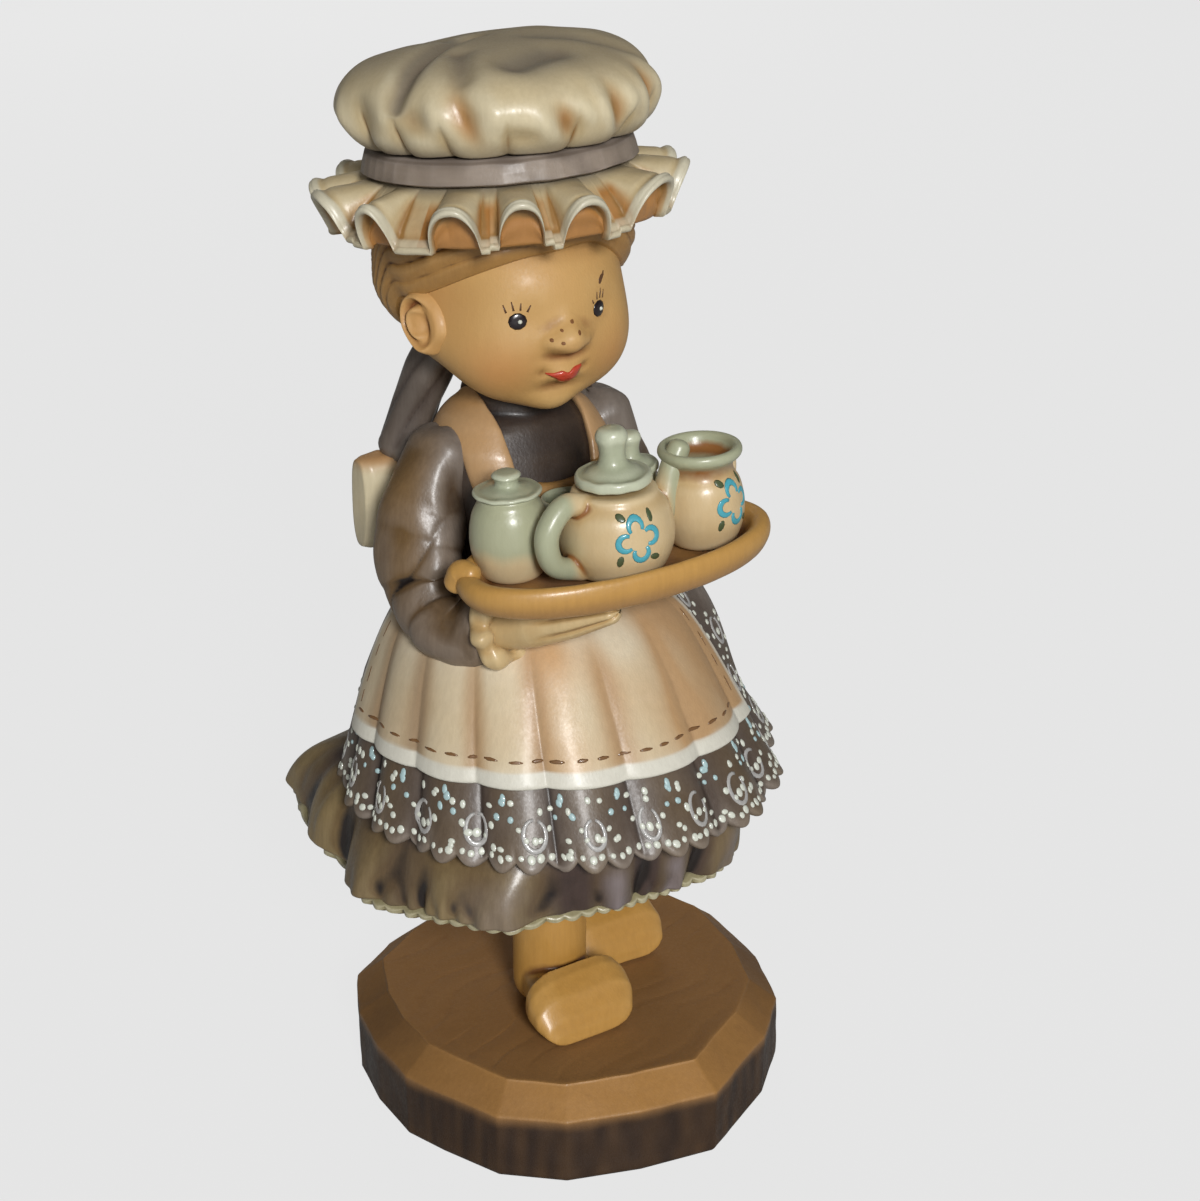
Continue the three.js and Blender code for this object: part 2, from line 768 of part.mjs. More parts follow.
// Tray: an oval plate with a raised, rounded rim, built level in its own frame
function trayRing(share, z, grow) {
  return ringOf(28, (angle) => point(
    (trayHalfLength * share + grow) * signedPower(Math.cos(angle), 0.95),
    (trayHalfDepth * share + grow) * signedPower(Math.sin(angle), 0.95),
    z,
  ));
}

// From the underside up the outside to the crest of the rim, then down to the floor
const trayOutside = [
  [0.8, -1, 0],
  [0.95, -0.5, 0],
  [1, 0.3, 1],
  [1, 0.75, 1],
  [0.975, 1, 1],
];
const crestShare = 0.89;
const floorShare = 0.79;
const trayInside = [
  [crestShare, 1],
  [0.83, 0.7],
  [floorShare, 0],
];

function trayPlate(grow = 0) {
  const rings = trayOutside.map(([share, up, side]) =>
    trayRing(share, up < 0 ? up * trayThickness - grow : up * rimHeight, grow * side));
  if (grow > 0) {
    rings.push(trayRing(0.975, rimHeight + grow, 0));
    return loft(rings);
  }
  return loft([...rings, ...trayInside.map(([share, up]) => trayRing(share, up * rimHeight, 0))]);
}

// The solid ring of the rim with a gap round it, to cut pots that lean on it
function trayWell() {
  const above = rimHeight + glueGap;
  const disc = loft([trayRing(1.1, -1, 0), trayRing(1.1, above, 0)]);
  const well = loft([
    trayRing(floorShare, -2, -glueGap),
    ...trayInside.toReversed().map(([share, up]) => trayRing(share, up * rimHeight, -glueGap)),
    trayRing(crestShare, above, 0),
    trayRing(crestShare, above + 2, 0),
  ]);
  return carve(disc, well);
}

function trayTurnMatrix() {
  const frame = new THREE.Object3D();
  frame.position.set(...trayCentre, trayLevel);
  frame.rotation.set(0, rad(-trayRoll), rad(trayTurn), "ZYX");
  frame.updateMatrix();
  return frame.matrix;
}

function trayPlace(x, y, z) {
  return point(x, y, z).applyMatrix4(trayTurnMatrix());
}

function trayBody(grow) {
  return trayPlate(grow).applyMatrix4(trayTurnMatrix());
}

// The tray is held against the body, so its back edge is cut to the bodice
function tray() {
  const bodyInTrayFrame = bodice(glueGap).applyMatrix4(trayTurnMatrix().invert());
  const bibInTrayFrame = bibRoom().applyMatrix4(trayTurnMatrix().invert());
  return carve(trayPlate(), bodyInTrayFrame, bibInTrayFrame);
}

function bibRoom() {
  return bodice(2 * glueGap + trimThickness);
}

// Tea things: turned bodies from shares of a radius and a height
function potBody(radius, height) {
  return [
    [0, 0],
    [0.7 * radius, 0],
    [0.94 * radius, 0.26 * height],
    [radius, 0.5 * height],
    [0.9 * radius, 0.78 * height],
    [0.72 * radius, height],
  ];
}

function lidProfile(radius, height, knobRadius) {
  return [
    [0, 0],
    [radius, 0],
    [radius, 0.2 * height],
    [0.55 * radius, 0.44 * height],
    [0.6 * knobRadius, 0.6 * height],
    [knobRadius, 0.76 * height],
    [0.8 * knobRadius, 0.93 * height],
    [0, height],
  ];
}

const teapot = { radius: 7.6, height: 11.6, lid: 4.6, lidHeight: 8.6, knob: 1.9, sides: 18 };
const sugarPot = { radius: 5.9, height: 10.6, lid: 5.4, lidHeight: 3.6, knob: 1.6, sides: 14 };
const backPot = { radius: 4.6, height: 10, lid: 3.8, lidHeight: 5.4, knob: 1.6, sides: 14 };
const jug = { radius: 5.7, height: 13.8, mouth: 5.5, hollow: 2.4 };
const cup = { radius: 3.6, height: 8, hollow: 2 };

function lidded(size, grow = 0) {
  return turned([...potBody(size.radius + grow, size.height), [0, size.height]], size.sides);
}

function lidOf(size, grow = 0) {
  return turned(lidProfile(size.lid + grow, size.lidHeight, size.knob + grow), 14);
}

function teapotBody(grow = 0) {
  const { radius, height } = teapot;
  const handle = limb([
    [-0.75 * radius, 0, 0.86 * height],
    [-1.25 * radius, 0, 0.92 * height],
    [-1.52 * radius, 0, 0.62 * height],
    [-1.32 * radius, 0, 0.28 * height],
    [-0.8 * radius, 0, 0.2 * height],
  ], [1.5, 1.6, 1.5, 1.4, 1.3], 7, 8, grow);
  const spout = limb([
    [0.7 * radius, 0, 0.34 * height],
    [1.08 * radius, 0, 0.62 * height],
    [1.24 * radius, 0, 0.95 * height],
    [1.5 * radius, 0, 1.22 * height],
  ], [2.2, 1.9, 1.6, 1.4], 7, 5, grow);
  return join(lidded(teapot, grow), handle, spout);
}

function creamJug(grow = 0) {
  const { radius, height, mouth, hollow } = jug;
  const body = turned([
    ...potBody(radius + grow, 0.82 * height),
    [mouth + grow, 0.93 * height],
    [mouth + grow, height],
    [mouth - 1, height],
    [mouth - 2, height - hollow],
    [0, height - hollow],
  ], 14);
  const handle = limb([
    [-0.62 * radius, 0, 0.8 * height],
    [-1.12 * radius, 0, 0.84 * height],
    [-1.3 * radius, 0, 0.55 * height],
    [-0.85 * radius, 0, 0.3 * height],
  ], [1.1, 1.1, 1, 1], 6, 6, grow);
  const lip = limb([
    [mouth - 0.9, 0, 0.86 * height],
    [1.12 * mouth, 0, 0.94 * height],
    [1.34 * mouth, 0, 1.03 * height],
  ], [2, 1.7, 1.2], 7, 4, grow);
  return join(body, handle, lip);
}

function teaCup() {
  const { radius, height, hollow } = cup;
  return turned([
    [0, 0],
    [0.6 * radius, 0],
    [0.95 * radius, 0.5 * height],
    [radius, height],
    [0.8 * radius, height],
    [0.55 * radius, height - hollow],
    [0, height - hollow],
  ], 12);
}

// Where the tea things stand on the tray, and which way each handle points
const places = {
  teapot: { x: -1.2, y: -2.6, heading: -12 },
  sugarPot: { x: -12, y: 3.6, heading: 0 },
  backPot: { x: 5.4, y: 4.9, heading: 0 },
  jug: { x: 12.6, y: -1, heading: -150 },
  cup: { x: -3.4, y: 6.2, heading: 0 },
};

function onTray(geometry, { x, y, heading }, lift = glueGap) {
  return geometry.rotateZ(rad(heading)).translate(x, y, lift);
}

// Tea things stand so close that those behind are cut back round those in front
function teaThings() {
  const slack = 1.3 * glueGap;
  const lidLevel = (size) => 2 * glueGap + size.height;
  const rim = trayWell();
  const front = onTray(teapotBody(slack), places.teapot, 0);
  const frontLid = onTray(lidOf(teapot, slack), places.teapot, lidLevel(teapot));
  const right = onTray(creamJug(slack), places.jug, 0);
  const left = onTray(lidded(sugarPot, slack), places.sugarPot, 0);
  const middle = onTray(lidded(backPot, slack), places.backPot, 0);
  const body = bibRoom().applyMatrix4(trayTurnMatrix().invert());
  return {
    teapot: onTray(teapotBody(), places.teapot),
    teapotLid: onTray(lidOf(teapot), places.teapot, lidLevel(teapot)),
    jug: carve(onTray(creamJug(), places.jug), front),
    sugarPot: carve(onTray(lidded(sugarPot), places.sugarPot), rim, front),
    sugarPotLid: carve(onTray(lidOf(sugarPot), places.sugarPot, lidLevel(sugarPot)), front),
    backPot: carve(onTray(lidded(backPot), places.backPot), front, right, body),
    backPotLid: carve(onTray(lidOf(backPot), places.backPot, lidLevel(backPot)), frontLid, right, body),
    cup: carve(onTray(teaCup(), places.cup), front, left, middle, body),
  };
}

// A direction in the head's own frame, from its angles round and up
function headDirection(degreesRound, degreesUp) {
  const [x, y] = outward(degreesRound);
  const up = rad(degreesUp);
  return point(x * Math.cos(up), y * Math.cos(up), Math.sin(up));
}

function bump(d, degreesRound, degreesUp, width) {
  return Math.exp(-((d.angleTo(headDirection(degreesRound, degreesUp)) / rad(width)) ** 2));
}

function bothSides(d, degreesRound, degreesUp, width) {
  return bump(d, degreesRound, degreesUp, width) + bump(d, -degreesRound, degreesUp, width);
}

// Distance from the head's centre to the skin
function skinDistance(d) {
  const nape = 4.6 * ease(d.y, -0.15, 0.75) * ease(-d.z, -0.2, 0.45);
  const jaw = 3 * ease(-d.z, 0.2, 0.75) * (1 - ease(-d.y, 0, 0.75));
  const temples = 1.1 * bothSides(d, 62, 8, 26);
  const cheeks = 1.1 * bothSides(d, 40, -30, 30);
  const chin = 1.4 * bump(d, 0, -52, 24);
  const sockets = 0.5 * bothSides(d, 21, -2, 13);
  const nose = 2 * bump(d, -1, -9.5, 9);
  const lips = 0.5 * bump(d, -2, -28, 10);
  return headRadius - nape - jaw - temples + cheeks + chin - sockets + nose + lips;
}

// The hairline: low at the nape, over the ears, and high on the forehead
function hairline(degreesRound) {
  const away = Math.abs(degreesRound);
  return mix(mix(31.5, 6, ease(away, 15, 90)), -42, ease(away, 88, 128));
}

// Hair is fullest over the temples and where it goes up under the cap
function hairDistance(d, grow = 0) {
  const fullness = 0.9 * bothSides(d, 90, 14, 34) + 1.3 * ease(d.z, 0.15, 0.5);
  return skinDistance(d) + hairThickness + fullness + grow;
}

function ear(hand) {
  const aim = headDirection(hand * 84, -6);
  const middle = aim.clone().multiplyScalar(skinDistance(aim) - 0.6);
  return blob(8, 5, (d) => point(
    middle.x + 1.9 * d.x,
    middle.y + 2.7 * d.y,
    middle.z + 4.1 * d.z,
  ));
}

const capSeat = -0.5 * bandHeight - ruffleThickness - 2 * glueGap;

function skull(grow) {
  return blob(22, 12, (d) => d.clone().multiplyScalar(skinDistance(d) + grow));
}

function headPiece() {
  const withEars = join(skull(0), ear(1), ear(-1));
  const neck = bodice(glueGap).applyMatrix4(headGroup.matrix.clone().invert());
  return carve(withEars, neck, capRoom());
}

// Everything above the cap's seat is cut away flat, so that the cap can be glued on
function capRoom() {
  const block = new THREE.BoxGeometry(80, 80, 40).translate(0, 0, capSeat - glueGap + 20);
  block.deleteAttribute("uv");
  return block.applyMatrix4(capGroup.matrix);
}

function hairPiece() {
  const shell = sheet(28, 3, true, (u, v, side) => {
    const round = 360 * u - 180;
    const up = mix(52, hairline(round), v);
    const d = headDirection(round, up);
    const edge = 1 - 0.55 * v ** 6;
    const outer = skinDistance(d) + (hairDistance(d) - skinDistance(d)) * edge;
    return d.clone().multiplyScalar(side ? skinDistance(d) - 1 : outer + glueGap);
  });
  const neck = bodice(2 * glueGap).applyMatrix4(headGroup.matrix.clone().invert());
  return carve(shell, skull(glueGap), capRoom(), earRoom(1), earRoom(-1), neck);
}

function earRoom(hand) {
  const room = ear(hand);
  room.computeBoundingBox();
  const { x, y, z } = room.boundingBox.getCenter(point(0, 0, 0));
  return room.translate(-x, -y, -z).scale(1.3, 1.2, 1.14).translate(x, y, z);
}

function pigtail(hand) {
  const tail = limb([
    [hand * 7.6, 4.8, -6],
    [hand * 8.8, 8, -12.5],
    [hand * 9.8, 10, -17.5],
    [hand * 11, 11.2, -23],
  ], [0.85, 1, 1.1, 1.1].map((share) => share * pigtailRadius), 10, 7);
  const hair = blob(24, 14, (d) => d.clone().multiplyScalar(hairDistance(d, 2 * glueGap)));
  const toHead = headGroup.matrix.clone().invert();
  const body = bodice(glueGap).applyMatrix4(toHead);
  const rooms = [strapRoom(hand), bowLoopRoom(hand), sleeve(hand, glueGap)];
  return carve(tail, hair, body, ...rooms.map((room) => room.applyMatrix4(toHead)));
}

function bowLoopRoom(hand) {
  const [cx, cy, cz] = bowCentre();
  const block = new THREE.BoxGeometry(2 * bowHalfWidth, 3 * bowDepth, bowHeight + 2 * glueGap);
  block.deleteAttribute("uv");
  return block.translate(cx + hand * bowHalfWidth, cy, cz - 0.8);
}

// Cap, built level in its own frame, whose origin is the middle of the band
function capCrown() {
  const profile = [
    [0.82, 0],
    [0.94, 0.12],
    [1, 0.38],
    [0.955, 0.62],
    [0.8, 0.82],
    [0.5, 0.95],
    [0.2, 1],
  ];
  const start = 0.5 * bandHeight + glueGap;
  return loft(profile.map(([out, up]) => ringOf(32, (angle) => {
    const folds = 0.5 + 0.5 * Math.cos(16 * angle + 1.4 * Math.sin(2 * angle));
    const gather = folds * (1 - ease(up, 0.05, 0.55));
    const billow = 0.5 * Math.sin(3 * angle + 0.6) + 0.3 * Math.sin(5 * angle);
    const r = crownRadius * out - 1.1 * gather + billow * ease(up, 0, 0.4) * out;
    const sag = 0.8 * Math.sin(2 * angle + 1) * out * up;
    const level = start + crownHeight * up + sag;
    return point(crownShift[0] + r * Math.cos(angle), crownShift[1] + r * Math.sin(angle), level);
  })));
}

function capBand() {
  const bottom = -0.5 * bandHeight;
  return turned([
    [0, bottom],
    [bandRadius + 0.3, bottom],
    [bandRadius, 0],
    [bandRadius - 0.4, -bottom],
    [0, -bottom],
  ], 32);
}

// Ruffle: cloth runs out flat from the band, then falls in deep round folds, further out on one side
function ruffleEdge(angle) {
  const fold = Math.cos(ruffleFolds * angle + 0.35 * Math.sin(3 * angle) + rad(ruffleFoldsFrom));
  const arch = signedPower(fold, 0.75);
  const swing = ruffleSwing * Math.cos(angle - rad(ruffleSwingAt));
  return [ruffleRadius + swing - 1.3 + 1.3 * arch, ruffleWave * (arch - 1) - ruffleDrop];
}

function capRuffle() {
  const top = -0.5 * bandHeight - glueGap;
  const rows = [
    [0, 0],
    [0.16, 0.08],
    [1, 1],
  ];
  const ring = ([out, down], under) => ringOf(5 * ruffleFolds, (angle) => {
    const [edgeRadius, edgeLevel] = ruffleEdge(angle);
    const r = mix(bandRadius - 2, edgeRadius, out) - 0.3 * under * out;
    const level = top + edgeLevel * down - under * ruffleThickness;
    return point(r * Math.cos(angle), r * Math.sin(angle), level);
  });
  return loft([...rows.map((row) => ring(row, 1)), ...rows.toReversed().map((row) => ring(row, 0))]);
}

// Assembly
const figurine = new THREE.Group();
const headGroup = new THREE.Group();
headGroup.position.set(...headCentre);
headGroup.rotation.z = rad(faceTurn);
headGroup.updateMatrix();
const capGroup = new THREE.Group();
capGroup.position.set(-0.5, 1.5, capHeight);
capGroup.rotation.set(rad(-capTiltBack), rad(-capTiltSide), 0);
capGroup.updateMatrix();
const trayGroup = new THREE.Group();
trayGroup.applyMatrix4(trayTurnMatrix());

function add(parent, name, geometry, material) {
  const mesh = new THREE.Mesh(geometry, material.clone());
  mesh.name = name;
  parent.add(mesh);
}

// The block and the feet
add(figurine, "base_block", baseBlock(), blockStain);
for (const [side, foot] of [["right", rightFoot], ["left", leftFoot]]) {
  add(figurine, `${side}_foot_dowel`, footDowel(foot), dowelWood);
  add(figurine, `${side}_clog`, clog(foot), honeyStain);
  add(figurine, `${side}_leg`, leg(foot), honeyStain);
}

// The skirts
const legSockets = [leg(rightFoot, glueGap), leg(leftFoot, glueGap)];
add(figurine, "petticoat", carve(petticoat(), ...legSockets), petticoatPaint);
add(figurine, "dress_skirt", dressSkirt(), plumStain);
add(figurine, "lace_overskirt", laceOverskirt(), plumStain);
add(figurine, "apron_skirt", apronSkirt(), creamPaint);

// The body
add(figurine, "bodice", bodice(), plumStain);
add(figurine, "apron_bib", apronBib(), creamPaint);
add(figurine, "bow_knot", bowKnot(), creamPaint);
for (const [side, hand] of [["right", -1], ["left", 1]]) {
  add(figurine, `${side}_strap`, strap(hand), creamPaint);
  add(figurine, `${side}_bow_loop`, bowLoop(hand), creamPaint);
  add(figurine, `${side}_bow_tail`, bowTail(hand), creamPaint);
  add(figurine, `${side}_sleeve`, sleevePiece(hand), plumStain);
  add(figurine, `${side}_cuff`, cuff(hand), honeyStain);
  add(figurine, `${side}_hand`, handPiece(hand), skinTone);
}
add(figurine, "right_thumb", thumb(-1), skinTone);

// The tray and what stands on it
const things = teaThings();
add(trayGroup, "tray", tray(), honeyStain);
add(trayGroup, "teapot", things.teapot, potCream);
add(trayGroup, "teapot_lid", things.teapotLid, paleGreenGlaze);
add(trayGroup, "sugar_pot", things.sugarPot, potCream);
add(trayGroup, "sugar_pot_lid", things.sugarPotLid, paleGreenGlaze);
add(trayGroup, "back_pot", things.backPot, potCream);
add(trayGroup, "back_pot_lid", things.backPotLid, paleGreenGlaze);
add(trayGroup, "cream_jug", things.jug, potCream);
add(trayGroup, "tea_cup", things.cup, paleGreenGlaze);
figurine.add(trayGroup);

// The head
add(headGroup, "head", headPiece(), skinTone);
add(headGroup, "hair", hairPiece(), hairStain);
add(headGroup, "right_pigtail", pigtail(-1), plumStain);
add(headGroup, "left_pigtail", pigtail(1), plumStain);
add(capGroup, "cap_ruffle", capRuffle(), creamPaint);
add(capGroup, "cap_band", capBand(), bandPaint);
add(capGroup, "cap_crown", capCrown(), creamPaint);
headGroup.add(capGroup);
figurine.add(headGroup);

export default figurine;
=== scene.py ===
# %% [markdown]
# # A carved and painted figurine
# The object is a small limewood figure, carved by hand, stained, painted and varnished. This
# lesson dresses its plain CAD frame: each visible piece is remodelled with its carving marks
# and folds, and gets a painted-wood finish. The frame gives each piece its place.

import bpy
import numpy as np
from mathutils import Euler, Matrix, Vector


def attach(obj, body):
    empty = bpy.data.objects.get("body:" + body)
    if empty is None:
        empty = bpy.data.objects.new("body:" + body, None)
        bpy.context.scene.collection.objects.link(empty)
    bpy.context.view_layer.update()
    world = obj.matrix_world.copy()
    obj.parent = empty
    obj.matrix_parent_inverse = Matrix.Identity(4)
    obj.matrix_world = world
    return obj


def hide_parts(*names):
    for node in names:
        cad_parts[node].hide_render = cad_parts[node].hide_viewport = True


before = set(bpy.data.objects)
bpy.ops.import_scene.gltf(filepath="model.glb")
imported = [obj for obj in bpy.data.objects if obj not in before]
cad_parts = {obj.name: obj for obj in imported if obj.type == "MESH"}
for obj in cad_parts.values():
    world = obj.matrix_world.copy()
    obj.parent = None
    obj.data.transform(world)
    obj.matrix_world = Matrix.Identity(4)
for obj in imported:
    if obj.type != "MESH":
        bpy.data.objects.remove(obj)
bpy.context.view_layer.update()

MM = 0.001
TURN = 2 * np.pi
SIDES = {"right": -1, "left": 1}


# %% [markdown]
# ## Camera
# The photograph looks down at the figure from its right-hand side. A camera needs a place, a
# direction to look in and a lens. These were found by matching the block, hems, tray and cap.

# %% Camera
camera_data = bpy.data.cameras.new("photo_camera")
camera_data.sensor_width = 36
camera_data.lens = 70.98
camera = bpy.data.objects.new("photo_camera", camera_data)
bpy.context.collection.objects.link(camera)
camera.location = (-0.16339, -0.25160, 0.198)
camera.rotation_euler = Euler(np.radians([67.43, 0, -33.94]), "XYZ")
bpy.context.scene.camera = camera
bpy.context.scene.view_settings.view_transform = "Standard"
print("Lens", camera_data.lens, "mm")

# %% [markdown]
# ## Nodes and colours
# Every finish below is a small node tree. Colours are written as sRGB hex values, as a paint
# chart would give them, and turned to linear light once. One function adds a node.

# %% Node and colour helpers
def linear(hex_colour):
    channels = np.array([int(hex_colour[i:i + 2], 16) / 255 for i in (1, 3, 5)])
    low, high = channels / 12.92, ((channels + 0.055) / 1.055) ** 2.4
    return (*np.where(channels <= 0.04045, low, high), 1)


def add_node(tree, kind, inputs=None, **settings):
    made = tree.nodes.new("ShaderNode" + kind)
    for key, value in settings.items():
        setattr(made, key, value)
    for key, value in (inputs or {}).items():
        if isinstance(value, bpy.types.NodeSocket):
            tree.links.new(value, made.inputs[key])
        else:
            made.inputs[key].default_value = value
    return made


def new_tree(name):
    material = bpy.data.materials.new(name)
    material.use_nodes = True
    material.node_tree.nodes.clear()
    return material, material.node_tree


print("Mid grey in linear light:", round(float(linear("#808080")[0]), 3))

# %% [markdown]
# ## Floor and backdrop
# A plain pale floor and a pale world, as in the photograph. Stronger lamps would whiten them,
# but would bleach the paint too. So what the camera sees directly is lightened through Light
# Path instead. A small share of the matt floor stays in, and it carries the shadow.

# %% Floor and backdrop
BACKGROUND = linear("#e5e5e5")
PLAIN_SHARE = 0.93
FLOOR_GLOW = 1.05
ROOM_LIGHT = 0.1

floor_paper, tree = new_tree("pale_paper_floor")
matt = add_node(tree, "BsdfDiffuse", {"Color": linear("#b4b4b2")})
plain = add_node(tree, "Emission", {"Color": BACKGROUND, "Strength": FLOOR_GLOW})
seen = add_node(tree, "LightPath").outputs["Is Camera Ray"]
how_plain = add_node(tree, "Math", {0: seen, 1: PLAIN_SHARE}, operation="MULTIPLY")
sheet = add_node(tree, "MixShader",
                 {0: how_plain.outputs[0], 1: matt.outputs[0], 2: plain.outputs[0]})
add_node(tree, "OutputMaterial", {"Surface": sheet.outputs[0]})

bpy.ops.object.select_all(action="DESELECT")
bpy.ops.mesh.primitive_plane_add(size=6, location=(0, 0, 0))
floor = bpy.context.object
floor.name = "studio_floor"
floor.data.materials.append(floor_paper)

world = bpy.data.worlds.new("soft_room")
bpy.context.scene.world = world
world.use_nodes = True
tree = world.node_tree
tree.nodes.clear()
room = add_node(tree, "Background", {"Color": linear("#f2f0ec"), "Strength": ROOM_LIGHT})
backdrop = add_node(tree, "Background", {"Color": BACKGROUND, "Strength": 1})
direct = add_node(tree, "LightPath").outputs["Is Camera Ray"]
sky = add_node(tree, "MixShader", {0: direct, 1: room.outputs[0], 2: backdrop.outputs[0]})
add_node(tree, "OutputWorld", {"Surface": sky.outputs[0]})
print("Floor", floor.dimensions.x, "m wide")

# %% [markdown]
# ## Lamps
# The main lamp is a softbox near the camera, like the flash that took the picture. Three weak
# lamps fill the shadows at the sides and behind. Only the main one shows in the varnish, so
# that the gloss has one soft glint, as in the photograph.

# %% Lamps
LAMPS = [  # name, place, point aimed at, size in m, watts, shows in the varnish
    ("main_softbox", (-0.42, -1.12, 0.62), (0, 0, 0.08), 0.26, 15.5, True),
    ("left_fill", (-0.9, -0.35, 0.3), (0, 0, 0.07), 0.5, 0.8, False),
    ("back_fill", (0.45, 1.0, 0.45), (0, 0, 0.08), 0.6, 5.0, False),
    ("right_fill", (0.8, -0.5, 0.25), (0, 0, 0.07), 0.5, 1.0, False)]

for name, place, aimed_at, size, watts, glints in LAMPS:
    data = bpy.data.lights.new(name, "AREA")
    data.size = size
    data.energy = watts
    lamp = bpy.data.objects.new(name, data)
    bpy.context.collection.objects.link(lamp)
    lamp.location = place
    lamp.visible_glossy = glints
    away = Vector(place) - Vector(aimed_at)
    lamp.rotation_euler = away.to_track_quat("Z", "Y").to_euler()
    print(name, watts, "W")

# %% [markdown]
# ## The painted-wood finish
# The maker stains the carved wood, paints it thinly, and wipes it: stain stays dark in the
# hollows and the ridges come out pale. So each piece carries a measured value, *recess*, that
# says how far a point lies below its surroundings, and the finish reads it. Three more values
# say where a second paint lies, which on some pieces also gives painted shade or a painted
# highlight; where a painted shade lies, which on the dress is a painted sheen; and where a border
# (*trim*) lies. The grain and the brush marks are drawn a little coarser than real ones, so that
# they show.

# %% The painted-wood finish
CLOUD_MM = 5
GRAIN_MM = 0.7
BRUSH_MM = 0.32
BUMP_M = 0.0001


def painted_wood(name, paint, hollow, ridge, wash_and_painted_light=None, trim=None, painted_shade_and_sheen="#7f746c",
                 gloss=0.36, mottle=0.35, coat=0.3, grain=0.22):
    material, tree = new_tree(name)
    place = add_node(tree, "TexCoord").outputs["Object"]

    def noise(size_mm, detail, stretch=1):
        scaled = add_node(tree, "Mapping", {"Vector": place, "Scale": (1, 1, 1 / stretch)})
        return add_node(tree, "TexNoise", {
            "Vector": scaled.outputs[0], "Scale": 1 / (size_mm * MM),
            "Detail": detail, "Roughness": 0.6}).outputs[0]

    def level(value, low, high, to_low=0, to_high=1):
        return add_node(tree, "MapRange", {
            "Value": value, 1: low, 2: high, 3: to_low, 4: to_high}).outputs[0]

    def blend(share, first, second, way="MIX"):
        return add_node(tree, "Mix", {0: share, 6: first, 7: second},
                        data_type="RGBA", blend_type=way).outputs[2]

    def product(first, second):
        return add_node(tree, "Math", {0: first, 1: second}, operation="MULTIPLY").outputs[0]

    def total(first, second):
        return add_node(tree, "Math", {0: first, 1: second}, operation="ADD").outputs[0]

    def attribute(key):
        return add_node(tree, "Attribute", attribute_name=key).outputs["Fac"]

    cloudy = noise(CLOUD_MM, 4)
    streaky = noise(GRAIN_MM, 3, stretch=9)
    brushed = noise(BRUSH_MM, 2, stretch=1.6)
    depth = total(attribute("recess"), level(cloudy, 0.3, 0.7, -0.2, 0.2))
    colour = blend(level(cloudy, 0.35, 0.75, 0, mottle), linear(paint), linear(ridge))
    colour = blend(level(depth, -0.12, -0.7, 0, 0.85), colour, linear(ridge))
    # a second paint; on the dress, apron, tray and block it also carries painted shade or a
    # painted highlight
    if wash_and_painted_light:
        colour = blend(attribute("wash_and_painted_light"), colour, linear(wash_and_painted_light))
    colour = blend(level(depth, 0.08, 0.75), colour, linear(hollow))
    # painted shade from each piece's value, and on the dress a painted sheen
    colour = blend(attribute("painted_shade_and_sheen"), colour, linear(painted_shade_and_sheen))
    if trim:
        colour = blend(attribute("trim"), colour, linear(trim))
    dull = level(streaky, 0.35, 0.7, grain, 0)
    colour = blend(dull, colour, linear("#8a7a68"), "MULTIPLY")
    height = total(product(streaky, 0.6), brushed)
    bump = add_node(tree, "Bump", {"Height": height, "Strength": 0.3, "Distance": BUMP_M})
    patchy = product(brushed, level(cloudy, 0.3, 0.7, 0.7, 1.3))
    rough = level(patchy, 0.25, 0.75, gloss - 0.06, gloss + 0.16)
    shader = add_node(tree, "BsdfPrincipled", {
        "Base Color": colour, "Roughness": rough, "Normal": bump.outputs[0],
        "Coat Weight": coat, "Coat Roughness": 0.22, "IOR": 1.48})
    add_node(tree, "OutputMaterial", {"Surface": shader.outputs[0]})
    return material


print("Grain", GRAIN_MM, "mm, brush marks", BRUSH_MM, "mm")

# %% [markdown]
# ## The paints on wood
# Each finish is one thin paint: its own colour, the stain that stays in the hollows, and the
# pale tone that the ridges are wiped to. Cloth paints are satin. The pots have a thicker
# varnish, so their gloss is tighter. Skin and block are nearly matt, so the eye reads them as
# bare wood with a tint.

# %% The paints on wood
# In each finish the colour given for shade and sheen is a painted shade; on the dress it is a
# lilac painted sheen.
# The second colour is a paint, and on the dress, apron, tray and block it also gives painted shade
# or a painted highlight.
cream_paint = painted_wood(
    "cream_paint_on_limewood", "#bba881", "#936f3f", "#cfc3a4",
    wash_and_painted_light="#a8743a", trim="#c6c0aa", painted_shade_and_sheen="#776f63", coat=0.2, grain=0.1)
apron_paint = painted_wood(
    "apron_cream_on_limewood", "#c9b694", "#a1784a", "#d8cbb2",
    wash_and_painted_light="#bf9360", trim="#d2cfc2", painted_shade_and_sheen="#857c6c", gloss=0.44, coat=0.12, grain=0.1)
plum_paint = painted_wood(
    "plum_stain_on_limewood", "#4e4138", "#211815", "#857a70",
    wash_and_painted_light="#715c39", gloss=0.42, coat=0.15)
sleeve_paint = painted_wood(
    "sleeve_plum_on_limewood", "#3f3024", "#170e0a", "#7d746c",
    wash_and_painted_light="#80602f", gloss=0.4, coat=0.2)
dress_paint = painted_wood(
    "olive_brown_stain_on_limewood", "#705a38", "#1f1613", "#8b7853",
    wash_and_painted_light="#41322e", painted_shade_and_sheen="#867c7e", gloss=0.4)
collar_paint = painted_wood(
    "collar_plum_on_limewood", "#30251f", "#1a120f", "#47392d", gloss=0.44, coat=0.15)
petticoat_paint = painted_wood("cream_olive_on_limewood", "#8f8663", "#3c2f20", "#b5ae90")
skin_paint = painted_wood(
    "flesh_tint_on_limewood", "#bb9359", "#7c4d27", "#c5a169",
    wash_and_painted_light="#b3763f", painted_shade_and_sheen="#6e4722", gloss=0.5, mottle=0.25, coat=0.08, grain=0.04)
